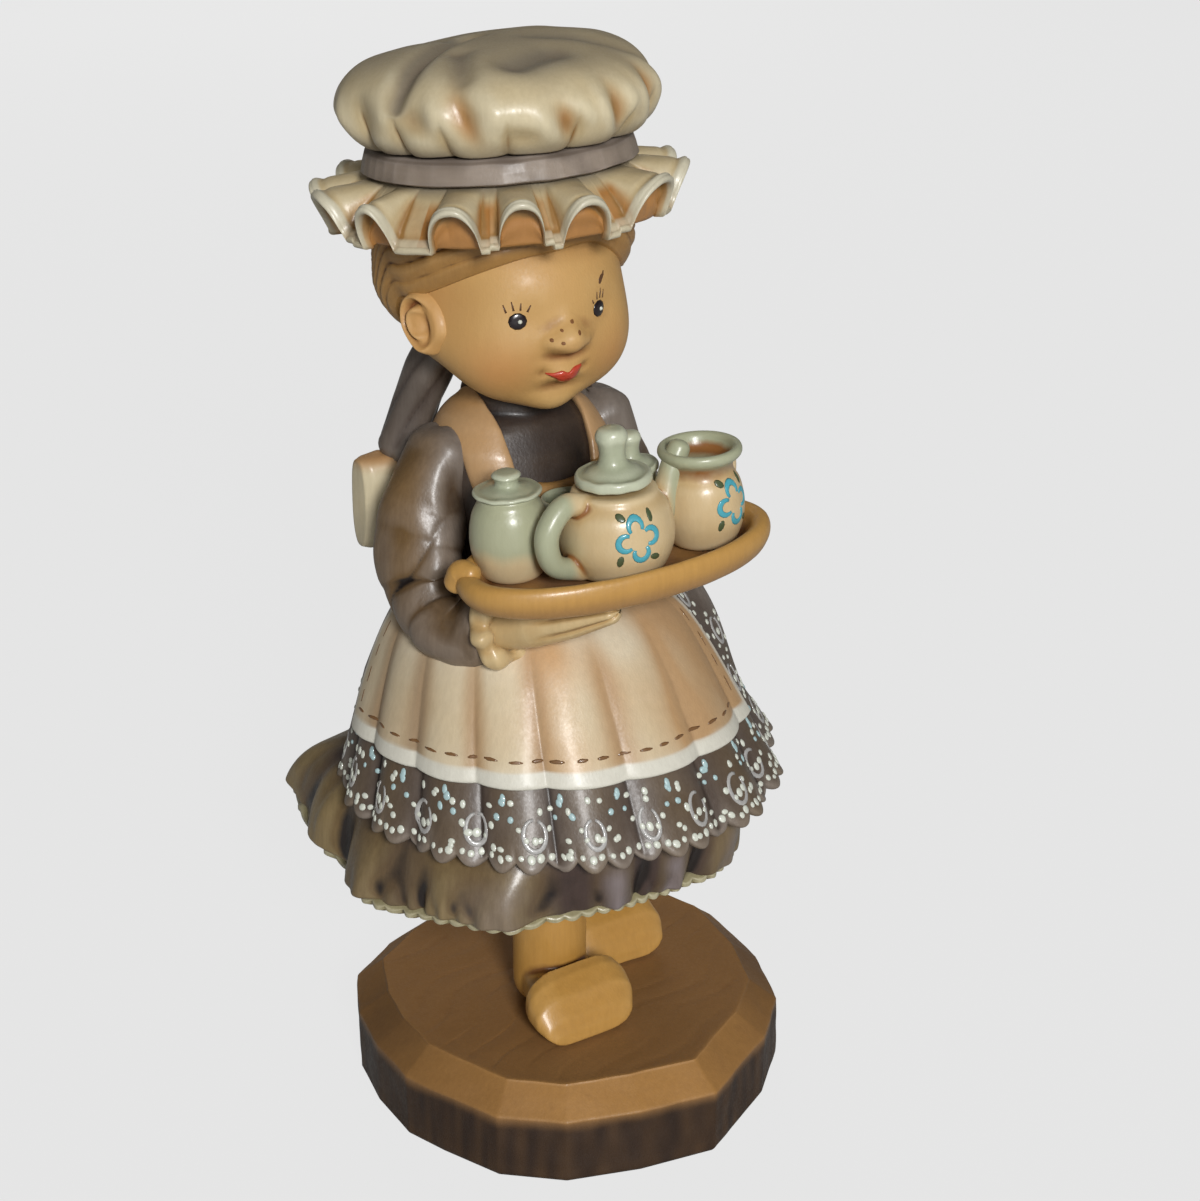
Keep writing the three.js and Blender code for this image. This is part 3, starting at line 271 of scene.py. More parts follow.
hair_paint = painted_wood(
    "honey_hair_stain_on_limewood", "#9c733c", "#583817", "#b08a54",
    gloss=0.46, coat=0.15, grain=0.15)
hand_paint = painted_wood(
    "pale_flesh_tint_on_limewood", "#b69663", "#6c4a28", "#c8b083", gloss=0.4, grain=0.1)
band_paint = painted_wood(
    "mauve_grey_ribbon_paint", "#86796c", "#4f433a", "#a0948a",
    painted_shade_and_sheen="#4a3f37", gloss=0.5, coat=0.1, grain=0.04)
honey_paint = painted_wood(
    "honey_stain_on_limewood", "#b2843f", "#69411a", "#bd914e",
    wash_and_painted_light="#876449", gloss=0.38, grain=0.12)
green_paint = painted_wood(
    "pale_green_gloss_paint", "#a0a58b", "#5a6046", "#bfc3ab",
    gloss=0.32, coat=0.35, grain=0.06)
pot_paint = painted_wood(
    "peach_cream_gloss_paint", "#bfa273", "#8a5c30", "#d0bb94",
    wash_and_painted_light="#a3a88c", painted_shade_and_sheen="#6e4a2a", gloss=0.34, coat=0.35, grain=0.06)
braid_paint = painted_wood(
    "pigtail_plum_on_limewood", "#4d423b", "#231a18", "#6f655c", gloss=0.4)
block_paint = painted_wood(
    "walnut_stain_on_limewood", "#876239", "#6b4824", "#956e42",
    wash_and_painted_light="#a67940", trim="#22140d", painted_shade_and_sheen="#5b4432", gloss=0.5, coat=0.08, grain=0.12)
bare_wood = painted_wood(
    "bare_limewood_dowel", "#cda873", "#a07c4c", "#dcbc8c", gloss=0.6, coat=0)
print(len(bpy.data.materials), "materials")

# %% [markdown]
# ## Thick brush paint
# The drawn details are undiluted paint, laid on with the tip of a brush. It hides the wood, so
# it needs no grain: only its own uneven thickness shows, as a slightly darker tone and a soft
# ripple.

# %% Thick brush paint
BEAD_RIPPLE_MM = 0.6
THIN_SHADE = 0.72


def brush_paint(name, colour, gloss=0.35):
    material, tree = new_tree(name)
    place = add_node(tree, "TexCoord").outputs["Object"]
    thin = add_node(tree, "TexNoise",
                    {"Vector": place, "Scale": 1 / (BEAD_RIPPLE_MM * MM), "Detail": 2})
    darker = tuple(THIN_SHADE * value for value in linear(colour)[:3]) + (1,)
    tone = add_node(tree, "Mix", {0: thin.outputs[0], 6: darker, 7: linear(colour)},
                    data_type="RGBA")
    bump = add_node(tree, "Bump",
                    {"Height": thin.outputs[0], "Strength": 0.2, "Distance": BUMP_M})
    shader = add_node(tree, "BsdfPrincipled", {
        "Base Color": tone.outputs[2], "Roughness": gloss,
        "Normal": bump.outputs[0], "Coat Weight": 0.3})
    add_node(tree, "OutputMaterial", {"Surface": shader.outputs[0]})
    return material


dot_white = brush_paint("white_dot_paint", "#dcdfd2")
dot_blue = brush_paint("pale_blue_dot_paint", "#b2cdcf")
ring_grey = brush_paint("lilac_grey_line_paint", "#b1afac")
stitch_brown = brush_paint("stitch_brown_paint", "#7d5a38")
eye_brown = brush_paint("eye_dark_brown_paint", "#1c1216", 0.3)
lash_brown = brush_paint("lash_brown_paint", "#5f3f24", 0.6)
freckle_brown = brush_paint("freckle_brown_paint", "#83552c", 0.6)
lip_red = brush_paint("lip_red_paint", "#c2452f", 0.35)
petal_blue = brush_paint("turquoise_petal_paint", "#4da9b9")
leaf_green = brush_paint("olive_leaf_paint", "#4e5a3c")
print(len(bpy.data.materials), "materials")

# %% [markdown]
# ## Numbers along a way
# The shapes below are rules: numbers that change along a way. These few functions do it. One
# tells how far along a value is, one eases in and out, one makes a soft hill, and one reads
# values off a table, as from a drawing with stations.

# %% Numbers along a way
def mix(a, b, share):
    return a + (b - a) * share


def part(x, low, high):
    """How far x is on the way from low to high: 0 to 1."""
    return np.clip((x - low) / (high - low), 0, 1)


def ease(x, low, high):
    share = part(x, low, high)
    return share * share * (3 - 2 * share)


def hill(x, middle, width):
    return np.exp(-((x - middle) / width) ** 2)


def signed_power(x, power):
    return np.sign(x) * np.abs(x) ** power


def stacked(*columns):
    return np.stack(np.broadcast_arrays(*columns), -1)


def read_off(values, stations, at):
    return np.stack([np.interp(at, stations, column) for column in values.T], -1)


def along_path(path, share):
    """A place on a path of straight pieces that take equal shares of the way."""
    return read_off(np.array(path), np.linspace(0, 1, len(path)), share).T


def outward(degrees):
    """The level direction at an angle round the figure: 0 is ahead, 90 its left."""
    return np.sin(np.radians(degrees)), -np.cos(np.radians(degrees))


def near_direction(degrees, middle, width):
    return hill((degrees - middle + 180) % 360 - 180, 0, width)


print("Halfway eased:", float(ease(0.5, 0, 1)))

# %% [markdown]
# ## Forming a grid into a piece
# Most pieces here are cloth, skin or limbs cut in wood: no flat sides, many small folds. Such a
# form could be sculpted by hand, but a script does better with a grid primitive whose points
# are moved by a rule, round the figure and down it. Where the grid meets itself its points are
# merged, so the piece is closed, and its normals are then made to point out.

# %% Forming a grid into a piece
def points_of(mesh):
    flat = np.empty(3 * len(mesh.vertices))
    mesh.vertices.foreach_get("co", flat)
    return flat.reshape(-1, 3)


def in_mm(piece):
    return points_of(piece.data) / MM


def set_points(piece, points):
    piece.data.vertices.foreach_set("co", (np.asarray(points) * MM).ravel())
    piece.data.update()


def move_points(piece, matrix):
    set_points(piece, in_mm(piece) @ matrix[:3, :3].T + matrix[:3, 3])


def store(piece, key, values):
    layer = piece.data.attributes.get(key)
    layer = layer or piece.data.attributes.new(key, "FLOAT", "POINT")
    values = np.asarray(values, dtype=np.float32) * np.ones(len(piece.data.vertices))
    layer.data.foreach_set("value", values)


def close_up(piece, gap_mm=0.002):
    bpy.context.view_layer.objects.active = piece
    bpy.ops.object.mode_set(mode="EDIT")
    bpy.ops.mesh.select_all(action="SELECT")
    bpy.ops.mesh.remove_doubles(threshold=gap_mm * MM)
    bpy.ops.mesh.normals_make_consistent(inside=False)
    bpy.ops.object.mode_set(mode="OBJECT")
    bpy.ops.object.shade_smooth()


def formed(name, across, down, rule):
    bpy.ops.object.select_all(action="DESELECT")
    bpy.ops.mesh.primitive_grid_add(x_subdivisions=across, y_subdivisions=down, size=1)
    piece = bpy.context.object
    piece.name = name
    flat = points_of(piece.data)
    placed = rule(flat[:, 0] + 0.5, flat[:, 1] + 0.5)
    points, values = placed if isinstance(placed, tuple) else (placed, {})
    set_points(piece, points)
    for key, value in values.items():
        store(piece, key, value)
    close_up(piece)
    return piece


print("Pieces are formed in mm:", MM, "m")

# %% [markdown]
# ## Carving marks and hollows
# Carving leaves small uneven planes, so each form is rippled a little. The recess value comes
# from the mesh itself: smooth a copy of the points, and see how far each one lies below it.

# %% Carving marks and hollows
WAVES = 7


def ripple(points, size_mm, seed):
    rng = np.random.default_rng(seed)
    total = 0
    for _ in range(WAVES):
        way = rng.normal(size=3)
        way = way / np.linalg.norm(way) * rng.uniform(0.7, 1.3) * TURN / size_mm
        total = total + np.sin(points @ way + rng.uniform(0, 6.28))
    return total / WAVES


def roughen(piece, depth_mm, size_mm, seed):
    points = in_mm(piece)
    set_points(piece, points + depth_mm * ripple(points, size_mm, seed)[:, None])


def smoothed(points, a, b, passes):
    count = len(points)
    degree = np.bincount(a, minlength=count) + np.bincount(b, minlength=count)
    degree = np.maximum(degree, 1)[:, None]
    for _ in range(passes):
        total = np.stack([np.bincount(a, points[b, k], count) + np.bincount(b, points[a, k], count)
                          for k in range(3)], 1)
        points = 0.5 * points + 0.5 * total / degree
    return points


def mark_recesses(piece, reach_mm, full_mm):
    mesh = piece.data
    points = in_mm(piece)
    pairs = np.empty(2 * len(mesh.edges), dtype=np.int32)
    mesh.edges.foreach_get("vertices", pairs)
    a, b = pairs.reshape(-1, 2).T
    spacing = np.median(np.linalg.norm(points[a] - points[b], axis=1))
    passes = int(np.clip(2 * (reach_mm / spacing) ** 2, 4, 160))
    normals = np.empty(3 * len(mesh.vertices))
    mesh.vertices.foreach_get("normal", normals)
    depth = ((smoothed(points, a, b, passes) - points) * normals.reshape(-1, 3)).sum(1)
    store(piece, "recess", np.clip(depth / full_mm, -1, 1))


print("Ripples are the sum of", WAVES, "waves")

# %% Handing a piece over
def hand_over(piece, material, slot, *nodes, reach_mm=1.4, full_mm=0.35):
    if reach_mm:
        mark_recesses(piece, reach_mm, full_mm)
    piece.data.materials.clear()
    piece.data.materials.append(material)
    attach(piece, "root")
    if nodes:
        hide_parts(*nodes)
    points = in_mm(piece)
    size = (points.max(0) - points.min(0)).round(1)
    print(piece.name, len(piece.data.polygons), "faces,", size, "mm")


print(len(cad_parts), "CAD nodes to dress")

# %% [markdown]
# ## The skirt's shape
# The tiers share one rule: from the waist the cloth rounds over the hip and flares straight
# down, with carved pleats that deepen towards the hem. The distance from the middle is worked
# out from the direction round the figure and the share of the way down. On the right it swings
# out over the train, and on the left it puffs.

# %% The skirt tiers' shared rule
WAIST, APRON_HEM, LACE_HEM, DRESS_HEM, FOOT = 77, 57, 46.5, 38.5, 13
WAIST_SHIFT = (-1.5, 6)
WAIST_RADIUS, FLARE = 11.8, 16.6
RIDGES = np.array([4, 30, 56, 82, 108, 134, 160, 186, 212, 234, 254, 272, 294, 314, 336, 364])


def pleat(degrees):
    """1 on a pleat's ridge and near 0 in the valley between two."""
    at = (degrees - RIDGES[0]) % 360 + RIDGES[0]
    k = np.clip(np.searchsorted(RIDGES, at, side="right") - 1, 0, len(RIDGES) - 2)
    share = (at - RIDGES[k]) / (RIDGES[k + 1] - RIDGES[k])
    return (np.cos(np.pi * share) ** 2 + 0.003) ** 0.35


def skirt_share(z):
    return np.maximum(0, (WAIST - z) / (WAIST - LACE_HEM))


def tier_radius(degrees, share, offset, fold):
    hip = 0.36 * (1 - np.exp(-share / 0.09)) + 0.64 * share
    sine, cosine = np.sin(np.radians(degrees)), np.cos(np.radians(degrees))
    swing = 0.9 * sine - (2 * cosine ** 2 - 1) + 1.1 * (1 - cosine)
    train = 1.85 * near_direction(degrees, -132, 28) * np.minimum(1, 2 * share)
    down = np.minimum(share, 1)
    bulge = np.maximum(0.6 * down, np.sin(np.pi * down ** 0.6))
    puff = 7.3 * near_direction(degrees, 96, 15) * bulge
    folds = (swing + 1.7 * (fold - 0.6)) * share
    return WAIST_RADIUS + FLARE * hip + folds + train + puff + offset


def on_tier(degrees, z, offset, fold=None):
    share = skirt_share(z)
    shift = np.maximum(0, 1 - share)
    dx, dy = outward(degrees)
    radius = tier_radius(degrees, share, offset, pleat(degrees) if fold is None else fold)
    return stacked(WAIST_SHIFT[0] * shift + radius * dx, WAIST_SHIFT[1] * shift + radius * dy, z)


def round_the_hem(v, outer=0.62, roll=0.1):
    """Down the outer face, round the hem's edge and up the inner face: how far down, which
    side (0 outer to 1 inner) and how far the edge bulges below the hem."""
    up_again = 1 - (v - outer - roll) / (1 - outer - roll)
    down = np.where(v < outer, v / outer, np.where(v < outer + roll, 1, up_again))
    turn = part(v, outer, outer + roll)
    return down, 0.5 - 0.5 * np.cos(np.pi * turn), np.sin(np.pi * turn)


print(len(RIDGES) - 1, "pleats from", WAIST, "mm down to", LACE_HEM, "mm")

# %% [markdown]
# ## Lace overskirt
# On the real figure this dark tier has forty-three small round scallops cut along its hem, and
# the pleats run on into them. The grid goes down the outside, round the thick edge and back up
# inside, and its sides meet, so one grid makes the whole closed tier.

# %% Lace overskirt
SCALLOPS = 43


def lace_edge(degrees, z):
    """The scalloped hem's height, and how far the lace curls out above it."""
    lobe = np.abs(np.cos(np.radians(SCALLOPS * degrees / 2)))
    level = LACE_HEM + 1.2 * (1 - lobe ** 0.9)
    return level, 0.4 * (lobe - 0.4) * ease(z, level + 2.2, level)


def lace_rule(u, v):
    degrees = 360 * u - 180
    down, inward, bulge = round_the_hem(v)
    z = mix(WAIST - 0.3, lace_edge(degrees, 0)[0], down)
    points = on_tier(degrees, z, lace_edge(degrees, z)[1] - 1.3 * inward)
    points[:, 2] -= 0.5 * bulge
    points += 0.05 * ripple(points, 5, 3)[:, None]
    olive = np.clip(0.9 * (pleat(degrees) - 0.45) * ease(down, 0.3, 0.8), 0, 1)
    return points, {"wash_and_painted_light": np.clip(olive * (0.6 + 0.5 * ripple(points, 9, 5)), 0, 0.9)}


lace = formed("lace_tier", 860, 84, lace_rule)
hand_over(lace, plum_paint, "plum_paint", "lace_overskirt", reach_mm=1.8, full_mm=0.4)

# %% [markdown]
# ## Apron
# The apron lies on the lace tier and shares its pleats, so the same rule serves with a greater
# distance from the middle. Its thickness runs out at the two side edges, which rounds them.
# The *trim* value marks the white border along hem and sides.

# %% Apron
APRON_EDGES = (-112, 53)
APRON_LIFT = 1.6
MEAN_FOLD = 0.6


def apron_radius(degrees, z):
    return tier_radius(degrees, skirt_share(z), APRON_LIFT, MEAN_FOLD)


def apron_rule(u, v):
    degrees = mix(*APRON_EDGES, u)
    down, inward, bulge = round_the_hem(v)
    z = mix(WAIST + 0.9, APRON_HEM, down)
    to_edge = np.minimum(degrees - APRON_EDGES[0], APRON_EDGES[1] - degrees)
    to_edge = np.radians(to_edge) * apron_radius(degrees, z)
    thick = np.sqrt(np.clip(1 - (1 - np.minimum(to_edge / 0.7, 1)) ** 2, 0, 1))
    points = on_tier(degrees, z, 0.95 + (0.5 - inward) * 1.3 * thick)
    points[:, 2] -= 0.5 * bulge * thick
    points += 0.06 * ripple(points, 6, 4)[:, None]
    uneven = APRON_HEM + 0.25 * ripple(points, 6, 8)
    border = np.maximum(1 - ease(z, uneven + 1.5, uneven + 2.0),
                        0.75 * (1 - ease(to_edge, 1.0, 1.7)))
    valley = ease(1 - pleat(degrees), 0, 0.8) * ease(down, 0.02, 0.5)
    # painted shade: the right side, turned from the light, is painted darker and warmer
    far = ease(degrees, -8, 32)
    cloudy = 0.5 * ripple(points, 14, 12) * ease(down, 0, 0.3)
    peach = 0.9 * valley + 0.8 * far + 0.5 * near_direction(degrees, -27, 7) + cloudy
    # painted shade: grey on the left side, turned from the light, and in the pleats' valleys
    grey = 0.6 * (1 - ease(degrees, -100, -48)) * (0.35 + 0.65 * valley)
    grey += 0.35 * valley * (1 - far) + 0.25 * far
    return points, {"trim": border, "wash_and_painted_light": np.clip(peach, 0, 0.9),
                    "painted_shade_and_sheen": np.clip(grey, 0, 0.6)}


apron = formed("apron_front", 420, 96, apron_rule)
hand_over(apron, apron_paint, "cream_paint", "apron_skirt", reach_mm=2.2, full_mm=0.45)

# %% [markdown]
# ## The dress's hem
# The dress swings out below the lace to a free hem with a train on its right. Its hem line is
# a list of stations round the figure. Both dress and petticoat are hung from it.

# %% The dress's hem
HEM = np.array([  # direction, distance out and drop
    [-180, 34, 2.5], [-160, 38, 1], [-150, 42, 0], [-143, 43.5, 0], [-137, 41, 0.5],
    [-130, 38.3, 1.2], [-122, 35.2, 2], [-114, 32.4, 2.5], [-106, 32.3, 2.8], [-98, 32.3, 2.6],
    [-90, 31.6, 2.2], [-82, 29.8, 2], [-74, 29, 1.5], [-62, 28.4, 1], [-50, 28.8, 0.5],
    [-36, 25.4, 0], [-20, 23.6, 0], [0, 22.8, 0], [14, 23.2, 0], [25, 24.8, 0], [38, 25, 0],
    [57, 25.2, 0.9], [75, 26.5, 1.4], [92, 30, 1.5], [120, 33, 2.5], [150, 34, 2.5],
    [180, 34, 2.5]])
CORE = (0, 2)


def dress_hem_point(degrees, inset, drop):
    at = (degrees + 180) % 360 - 180
    k = np.clip(np.searchsorted(HEM[:, 0], at, side="right") - 1, 0, len(HEM) - 2)
    share = ease(at, HEM[k, 0], HEM[k + 1, 0])
    _, distance, hangs = mix(HEM[k], HEM[k + 1], share[:, None]).T
    dx, dy = outward(degrees)
    return stacked((distance - inset) * dx, (distance - inset) * dy, DRESS_HEM - hangs - drop)


def to_core(points, level, share):
    return mix(points, np.array([[*CORE, level]]), share[:, None])


print("The train reaches", HEM[:, 1].max(), "mm out")

# %% [markdown]
# ## Dress
# The dress is one closed form: down the outside, round the hem, and into the hollow that takes
# the petticoat. Broad folds grow towards the hem, and a fine gather runs along it.

# %% Dress
def dress_rule(u, v):
    degrees = 360 * u - 180
    share = part(v, 0.1, 0.72)
    folds = np.sin(np.radians(11 * degrees) + 2 * np.sin(np.radians(3 * degrees)))
    under_lace = on_tier(degrees, np.full(len(u), LACE_HEM + 3.0), -1.7, 0)
    outer = mix(under_lace, dress_hem_point(degrees, 0, 0), share[:, None])
    train = 3.4 * near_direction(degrees, -145, 22) * np.sin(np.pi * share ** 0.75)
    swell = train + 0.9 * np.sin(np.pi * share) + (0.95 * folds - 0.3) * ease(share, 0.1, 0.8)
    small = np.radians(47 * degrees) + 3 * np.sin(np.radians(5 * degrees))
    broad = np.radians(23 * degrees) + 2 * np.sin(np.radians(4 * degrees)) + 3 * share
    gather = 0.3 * np.sin(small) * ease(share, 0.7, 1)
    gather += 0.3 * np.sin(broad) * ease(share, 0.25, 0.9)
    inner = dress_hem_point(degrees, 1.7, 0)
    for k, way in enumerate(outward(degrees)):
        outer[:, k] += (swell + gather) * way
        inner[:, k] += gather * way
    turn = part(v, 0.72, 0.78)
    points = mix(outer, inner, (0.5 - 0.5 * np.cos(np.pi * turn))[:, None])
    points[:, 2] -= 0.5 * np.sin(np.pi * turn)
    points = mix(points, dress_hem_point(degrees, 4, -4), part(v, 0.78, 0.88)[:, None])
    points = to_core(points, DRESS_HEM + 2, part(v, 0.88, 1))
    points = to_core(points, LACE_HEM + 3, part(v, 0.1, 0))
    shown = ease(v, 0.12, 0.2) * (1 - ease(v, 0.8, 0.88))
    points += (0.08 * ripple(points, 6, 6) * shown)[:, None]
    # painted shadow below the lace tier, and painted shade in the fold valleys
    shade = 0.9 * part(share, 0.4, 0) + 0.5 * np.clip(-folds, 0, 1)
    ahead = near_direction(degrees, -8, 42)
    # plum paint in front; the narrow band at -100 degrees is a painted shadow cast by the lace
    plum = 0.75 * ahead + 0.4 * near_direction(degrees, -100, 9)
    # a painted sheen: lilac highlights on the fold ridges in front
    sheen = np.clip(folds + 0.3 * ripple(points, 5, 14), 0, 1) ** 2 * ease(share, 0.35, 0.7)
    return points, {"wash_and_painted_light": np.clip(shade + plum, 0, 0.97),
                    "painted_shade_and_sheen": np.clip(0.9 * ahead * sheen, 0, 0.85)}


dress = formed("dress_with_train", 640, 110, dress_rule)
hand_over(dress, dress_paint, "plum_paint", "dress_skirt", reach_mm=2.2, full_mm=0.32)

# %% [markdown]
# ## Petticoat edge
# Only the petticoat's frilled edge shows, as a thin cream line of small lobes inside the hem
# of the dress. So the form is a closed ring: a path goes from deep inside, out to the edge and
# back, and both ends run to the middle of the figure, where nobody looks.

# %% Petticoat edge
PETTICOAT_PATH = [  # inset from the dress's hem, rise, and share of the lobes
    [6.3, 5.0, 0], [1.9, 0.2, 0], [0.9, -0.6, 1], [0.9, -1.1, 1], [1.6, -1.5, 0.8],
    [3.4, -1.2, 0], [6.3, 3.4, 0]]


def petticoat_rule(u, v):
    degrees = 360 * u - 180
    lobe = np.abs(np.cos(np.radians(34 * degrees) + 0.8 * np.sin(np.radians(4 * degrees))))
    inset, rise, lobed = along_path(PETTICOAT_PATH, part(v, 0.12, 0.88))
    frill = 0.35 * lobe * lobed
    points = dress_hem_point(degrees, inset - frill, frill - rise)
    points = to_core(points, DRESS_HEM + 5, part(v, 0.12, 0))
    return to_core(points, DRESS_HEM + 3.4, part(v, 0.88, 1))


petticoat = formed("petticoat_edge", 900, 40, petticoat_rule)
hand_over(petticoat, petticoat_paint, "petticoat_paint", "petticoat",
          reach_mm=0.7, full_mm=0.16)

# %% [markdown]
# ## Limbs
# Arms, hands, handles, spouts and pigtails are all round forms that follow a bent line. The
# rule runs a smooth curve through a few stations and lays the grid round it, with rounded ends.

# %% Limbs along a curve
ROUNDED = 0.1


def curve_through(stations, count=200):
    stations = np.array(stations, float)
    padded = np.vstack([2 * stations[0] - stations[1], stations, 2 * stations[-1] - stations[-2]])
    line = []
    for i in range(1, len(padded) - 2):
        t = np.linspace(0, 1, count, endpoint=False)[:, None]
        p0, p1, p2, p3 = padded[i - 1:i + 3]
        line.append(0.5 * (2 * p1 + (p2 - p0) * t + (2 * p0 - 5 * p1 + 4 * p2 - p3) * t ** 2
                           + (3 * p1 - p0 - 3 * p2 + p3) * t ** 3))
    line = np.vstack(line + [stations[-1:]])
    length = np.append(0, np.cumsum(np.linalg.norm(np.diff(line, axis=0), axis=1)))
    return line, length / length[-1]


def unit(vectors):
    return vectors / np.maximum(np.linalg.norm(vectors, axis=-1, keepdims=True), 1e-9)


def limb_rule(stations, radii, folds=None, side=(0, 0, 1), squash=1.0):
    line, share = curve_through(stations)
    tangents = unit(np.gradient(line, axis=0))

    def rule(u, v):
        along = part(v, ROUNDED, 1 - ROUNDED)
        tangent = unit(read_off(tangents, share, along))
        across = unit(np.cross(tangent, side))
        angle = TURN * u
        radius = np.interp(along, np.linspace(0, 1, len(radii)), radii)
        if folds:
            radius = radius + folds(angle, along)
        over = 0.5 * np.pi * (part(v, ROUNDED, 0) - part(v, 1 - ROUNDED, 1))
        width = radius * np.cos(over)
        return (read_off(line, share, along) - tangent * (0.7 * radius * np.sin(over))[:, None]
                + across * (width * np.cos(angle))[:, None]
                + np.cross(across, tangent) * (squash * width * np.sin(angle))[:, None])

    return rule


print("A limb's rounded ends take", ROUNDED, "of its grid")

# %% [markdown]
# ## Turned forms
# The pots, lids and cup are round, as if turned. A profile is drawn once as a line of points
# and spun round the upright axis, the way a lathe would make it. Handle and spout are grown
# into a pot by a voxel remesh, which leaves the soft corner between them that a gouge would.

# %% Turning a profile and growing pieces together
SPIN_STEPS = 72


def turned(name, corners):
    line, _ = curve_through(corners, 8)
    profile = stacked(np.maximum(line[:, 0], 0), 0, line[:, 1]) * MM
    mesh = bpy.data.meshes.new(name)
    mesh.from_pydata(profile.tolist(), [(i, i + 1) for i in range(len(profile) - 1)], [])
    piece = bpy.data.objects.new(name, mesh)
    bpy.context.collection.objects.link(piece)
    bpy.ops.object.select_all(action="DESELECT")
    piece.select_set(True)
    bpy.context.view_layer.objects.active = piece
    bpy.ops.object.mode_set(mode="EDIT")
    bpy.ops.mesh.select_all(action="SELECT")
    bpy.ops.mesh.spin(steps=SPIN_STEPS, angle=TURN, center=(0, 0, 0), axis=(0, 0, 1))
    bpy.ops.object.mode_set(mode="OBJECT")
    close_up(piece)
    return piece


def apply_modifier(piece, kind, **settings):
    modifier = piece.modifiers.new(kind.lower(), kind)
    for key, value in settings.items():
        setattr(modifier, key, value)
    bpy.ops.object.modifier_apply(modifier=modifier.name)


def grown_together(name, pieces, voxel_mm, smooth_passes):
    bpy.ops.object.select_all(action="DESELECT")
    for piece in pieces:
        piece.select_set(True)
    whole = pieces[0]
    bpy.context.view_layer.objects.active = whole
    bpy.ops.object.join()
    whole.name = name
    apply_modifier(whole, "REMESH", mode="VOXEL", voxel_size=voxel_mm * MM,
                   use_smooth_shade=True)
    apply_modifier(whole, "SMOOTH", factor=0.5, iterations=smooth_passes)
    bpy.ops.object.shade_smooth()
    return whole


print("A turned form has", SPIN_STEPS, "steps round")

# %% [markdown]
# ## Clogs and legs
# Leg and clog are cut from the same wood: a stocking leg goes into a thick clog with a round
# toe cap, a lip over the instep and a groove above the sole. The clog's sections are a table,
# from toe to heel. Each is formed on its own and the two are grown together.

# %% Clogs and legs
CLOG = np.array([  # share of the length, width, height
    [0, 0.72, 0.2], [0.03, 0.86, 0.42], [0.12, 0.98, 0.74], [0.24, 1, 0.94], [0.33, 0.95, 1],
    [0.35, 0.8, 0.8], [0.42, 0.74, 0.8], [0.88, 0.5, 0.7], [1, 0.34, 0.42]])
CLOG_LENGTH, CLOG_WIDTH, CLOG_HEIGHT = 19.5, 16.6, 8.6
ANKLE = 13.5
TOES = {"right": (-5.5, -15.2, 2.2), "left": (9.6, -1.5, -1.5)}
END = 0.06


def closed_ends(v):
    """1 between two flat ends and 0 at their middles."""
    return np.minimum(part(v, 0, END), part(v, 1, 1 - END))


def clog_rule(toe):
    def rule(u, v):
        along = part(v, END, 1 - END)
        wide, tall = read_off(CLOG[:, 1:], CLOG[:, 0], along).T
        closing = closed_ends(v)
        angle = TURN * u
        lift = np.clip(0.5 + 0.54 * signed_power(np.sin(angle), 0.8), 0, 1)
        lift = mix(0.4, lift, closing)
        sole = 1 - 0.09 * hill(lift, 0.24, 0.06)
        side = CLOG_WIDTH / 2 * wide * sole * signed_power(np.cos(angle), 0.7) * closing
        return stacked(toe[0] + side + toe[2] * along, toe[1] + CLOG_LENGTH * along,
                       FOOT + 0.3 + CLOG_HEIGHT * tall * lift)

    return rule


for side, toe in TOES.items():
    shoe = formed(f"{side}_shoe", 96, 80, clog_rule(toe))
    x, y = toe[0] + toe[2] * ANKLE / CLOG_LENGTH, toe[1] + ANKLE
    stations = [(x, y, FOOT + 3), (x, y, 26), (x, y, 41)]
    leg = formed(f"{side}_stocking", 48, 60, limb_rule(stations, [5.3, 5.3, 6.1], side=(0, 1, 0)))
    foot = grown_together(f"{side}_clog_and_leg", [shoe, leg], 0.24, 6)
    roughen(foot, 0.1, 5, 21)
    points = in_mm(foot)
    points[:, 2] = np.maximum(points[:, 2], FOOT + 0.25)
    set_points(foot, points)
    hand_over(foot, honey_paint, "honey_stain", f"{side}_clog", f"{side}_leg",
              reach_mm=1.8, full_mm=0.4)
    store(foot, "wash_and_painted_light", 0)

# %% [markdown]
# ## The block's outline and gouge marks
# The block is sawn, and its top is smoothed with a shallow gouge. The outline is a list of
# corners, and a straight line between two gives the distance out in any direction. The gouge
# leaves rows of shallow scoops, a little wavy, because the hand turns as it pushes.

# %% The block's outline and gouge marks
CORNERS = np.array([
    [4, -31.5], [18, -24.2], [26, -17], [30.5, -6], [32.5, 8], [29.5, 18], [20, 26], [8, 31],
    [-3, 32.3], [-14, 28.5], [-22.3, 23.3], [-27, 14], [-29, 5], [-29.5, -4], [-27.5, -10.5],
    [-24, -19.5], [-17, -26], [-7, -29.5]])
GOUGE_TURN = -24
GOUGE_WIDTH = 4.6


def outline_radius(degrees, inset):
    ring = CORNERS * (1 - inset / np.linalg.norm(CORNERS, axis=1))[:, None]
    dx, dy = outward(degrees)
    best = np.full(degrees.shape, 1e9)
    for (ax, ay), (bx, by) in zip(ring, np.roll(ring, -1, axis=0)):
        ex, ey = bx - ax, by - ay
        with np.errstate(divide="ignore", invalid="ignore"):
            reach = (ax * ey - ay * ex) / (dx * ey - dy * ex)
            along_x, along_y = (reach * dx - ax) / ex, (reach * dy - ay) / ey
            along = np.where(np.abs(ex) > np.abs(ey), along_x, along_y)
        hit = (reach > 0) & (along >= -1e-6) & (along <= 1 + 1e-6)
        best = np.where(hit, np.minimum(best, reach), best)
    return best


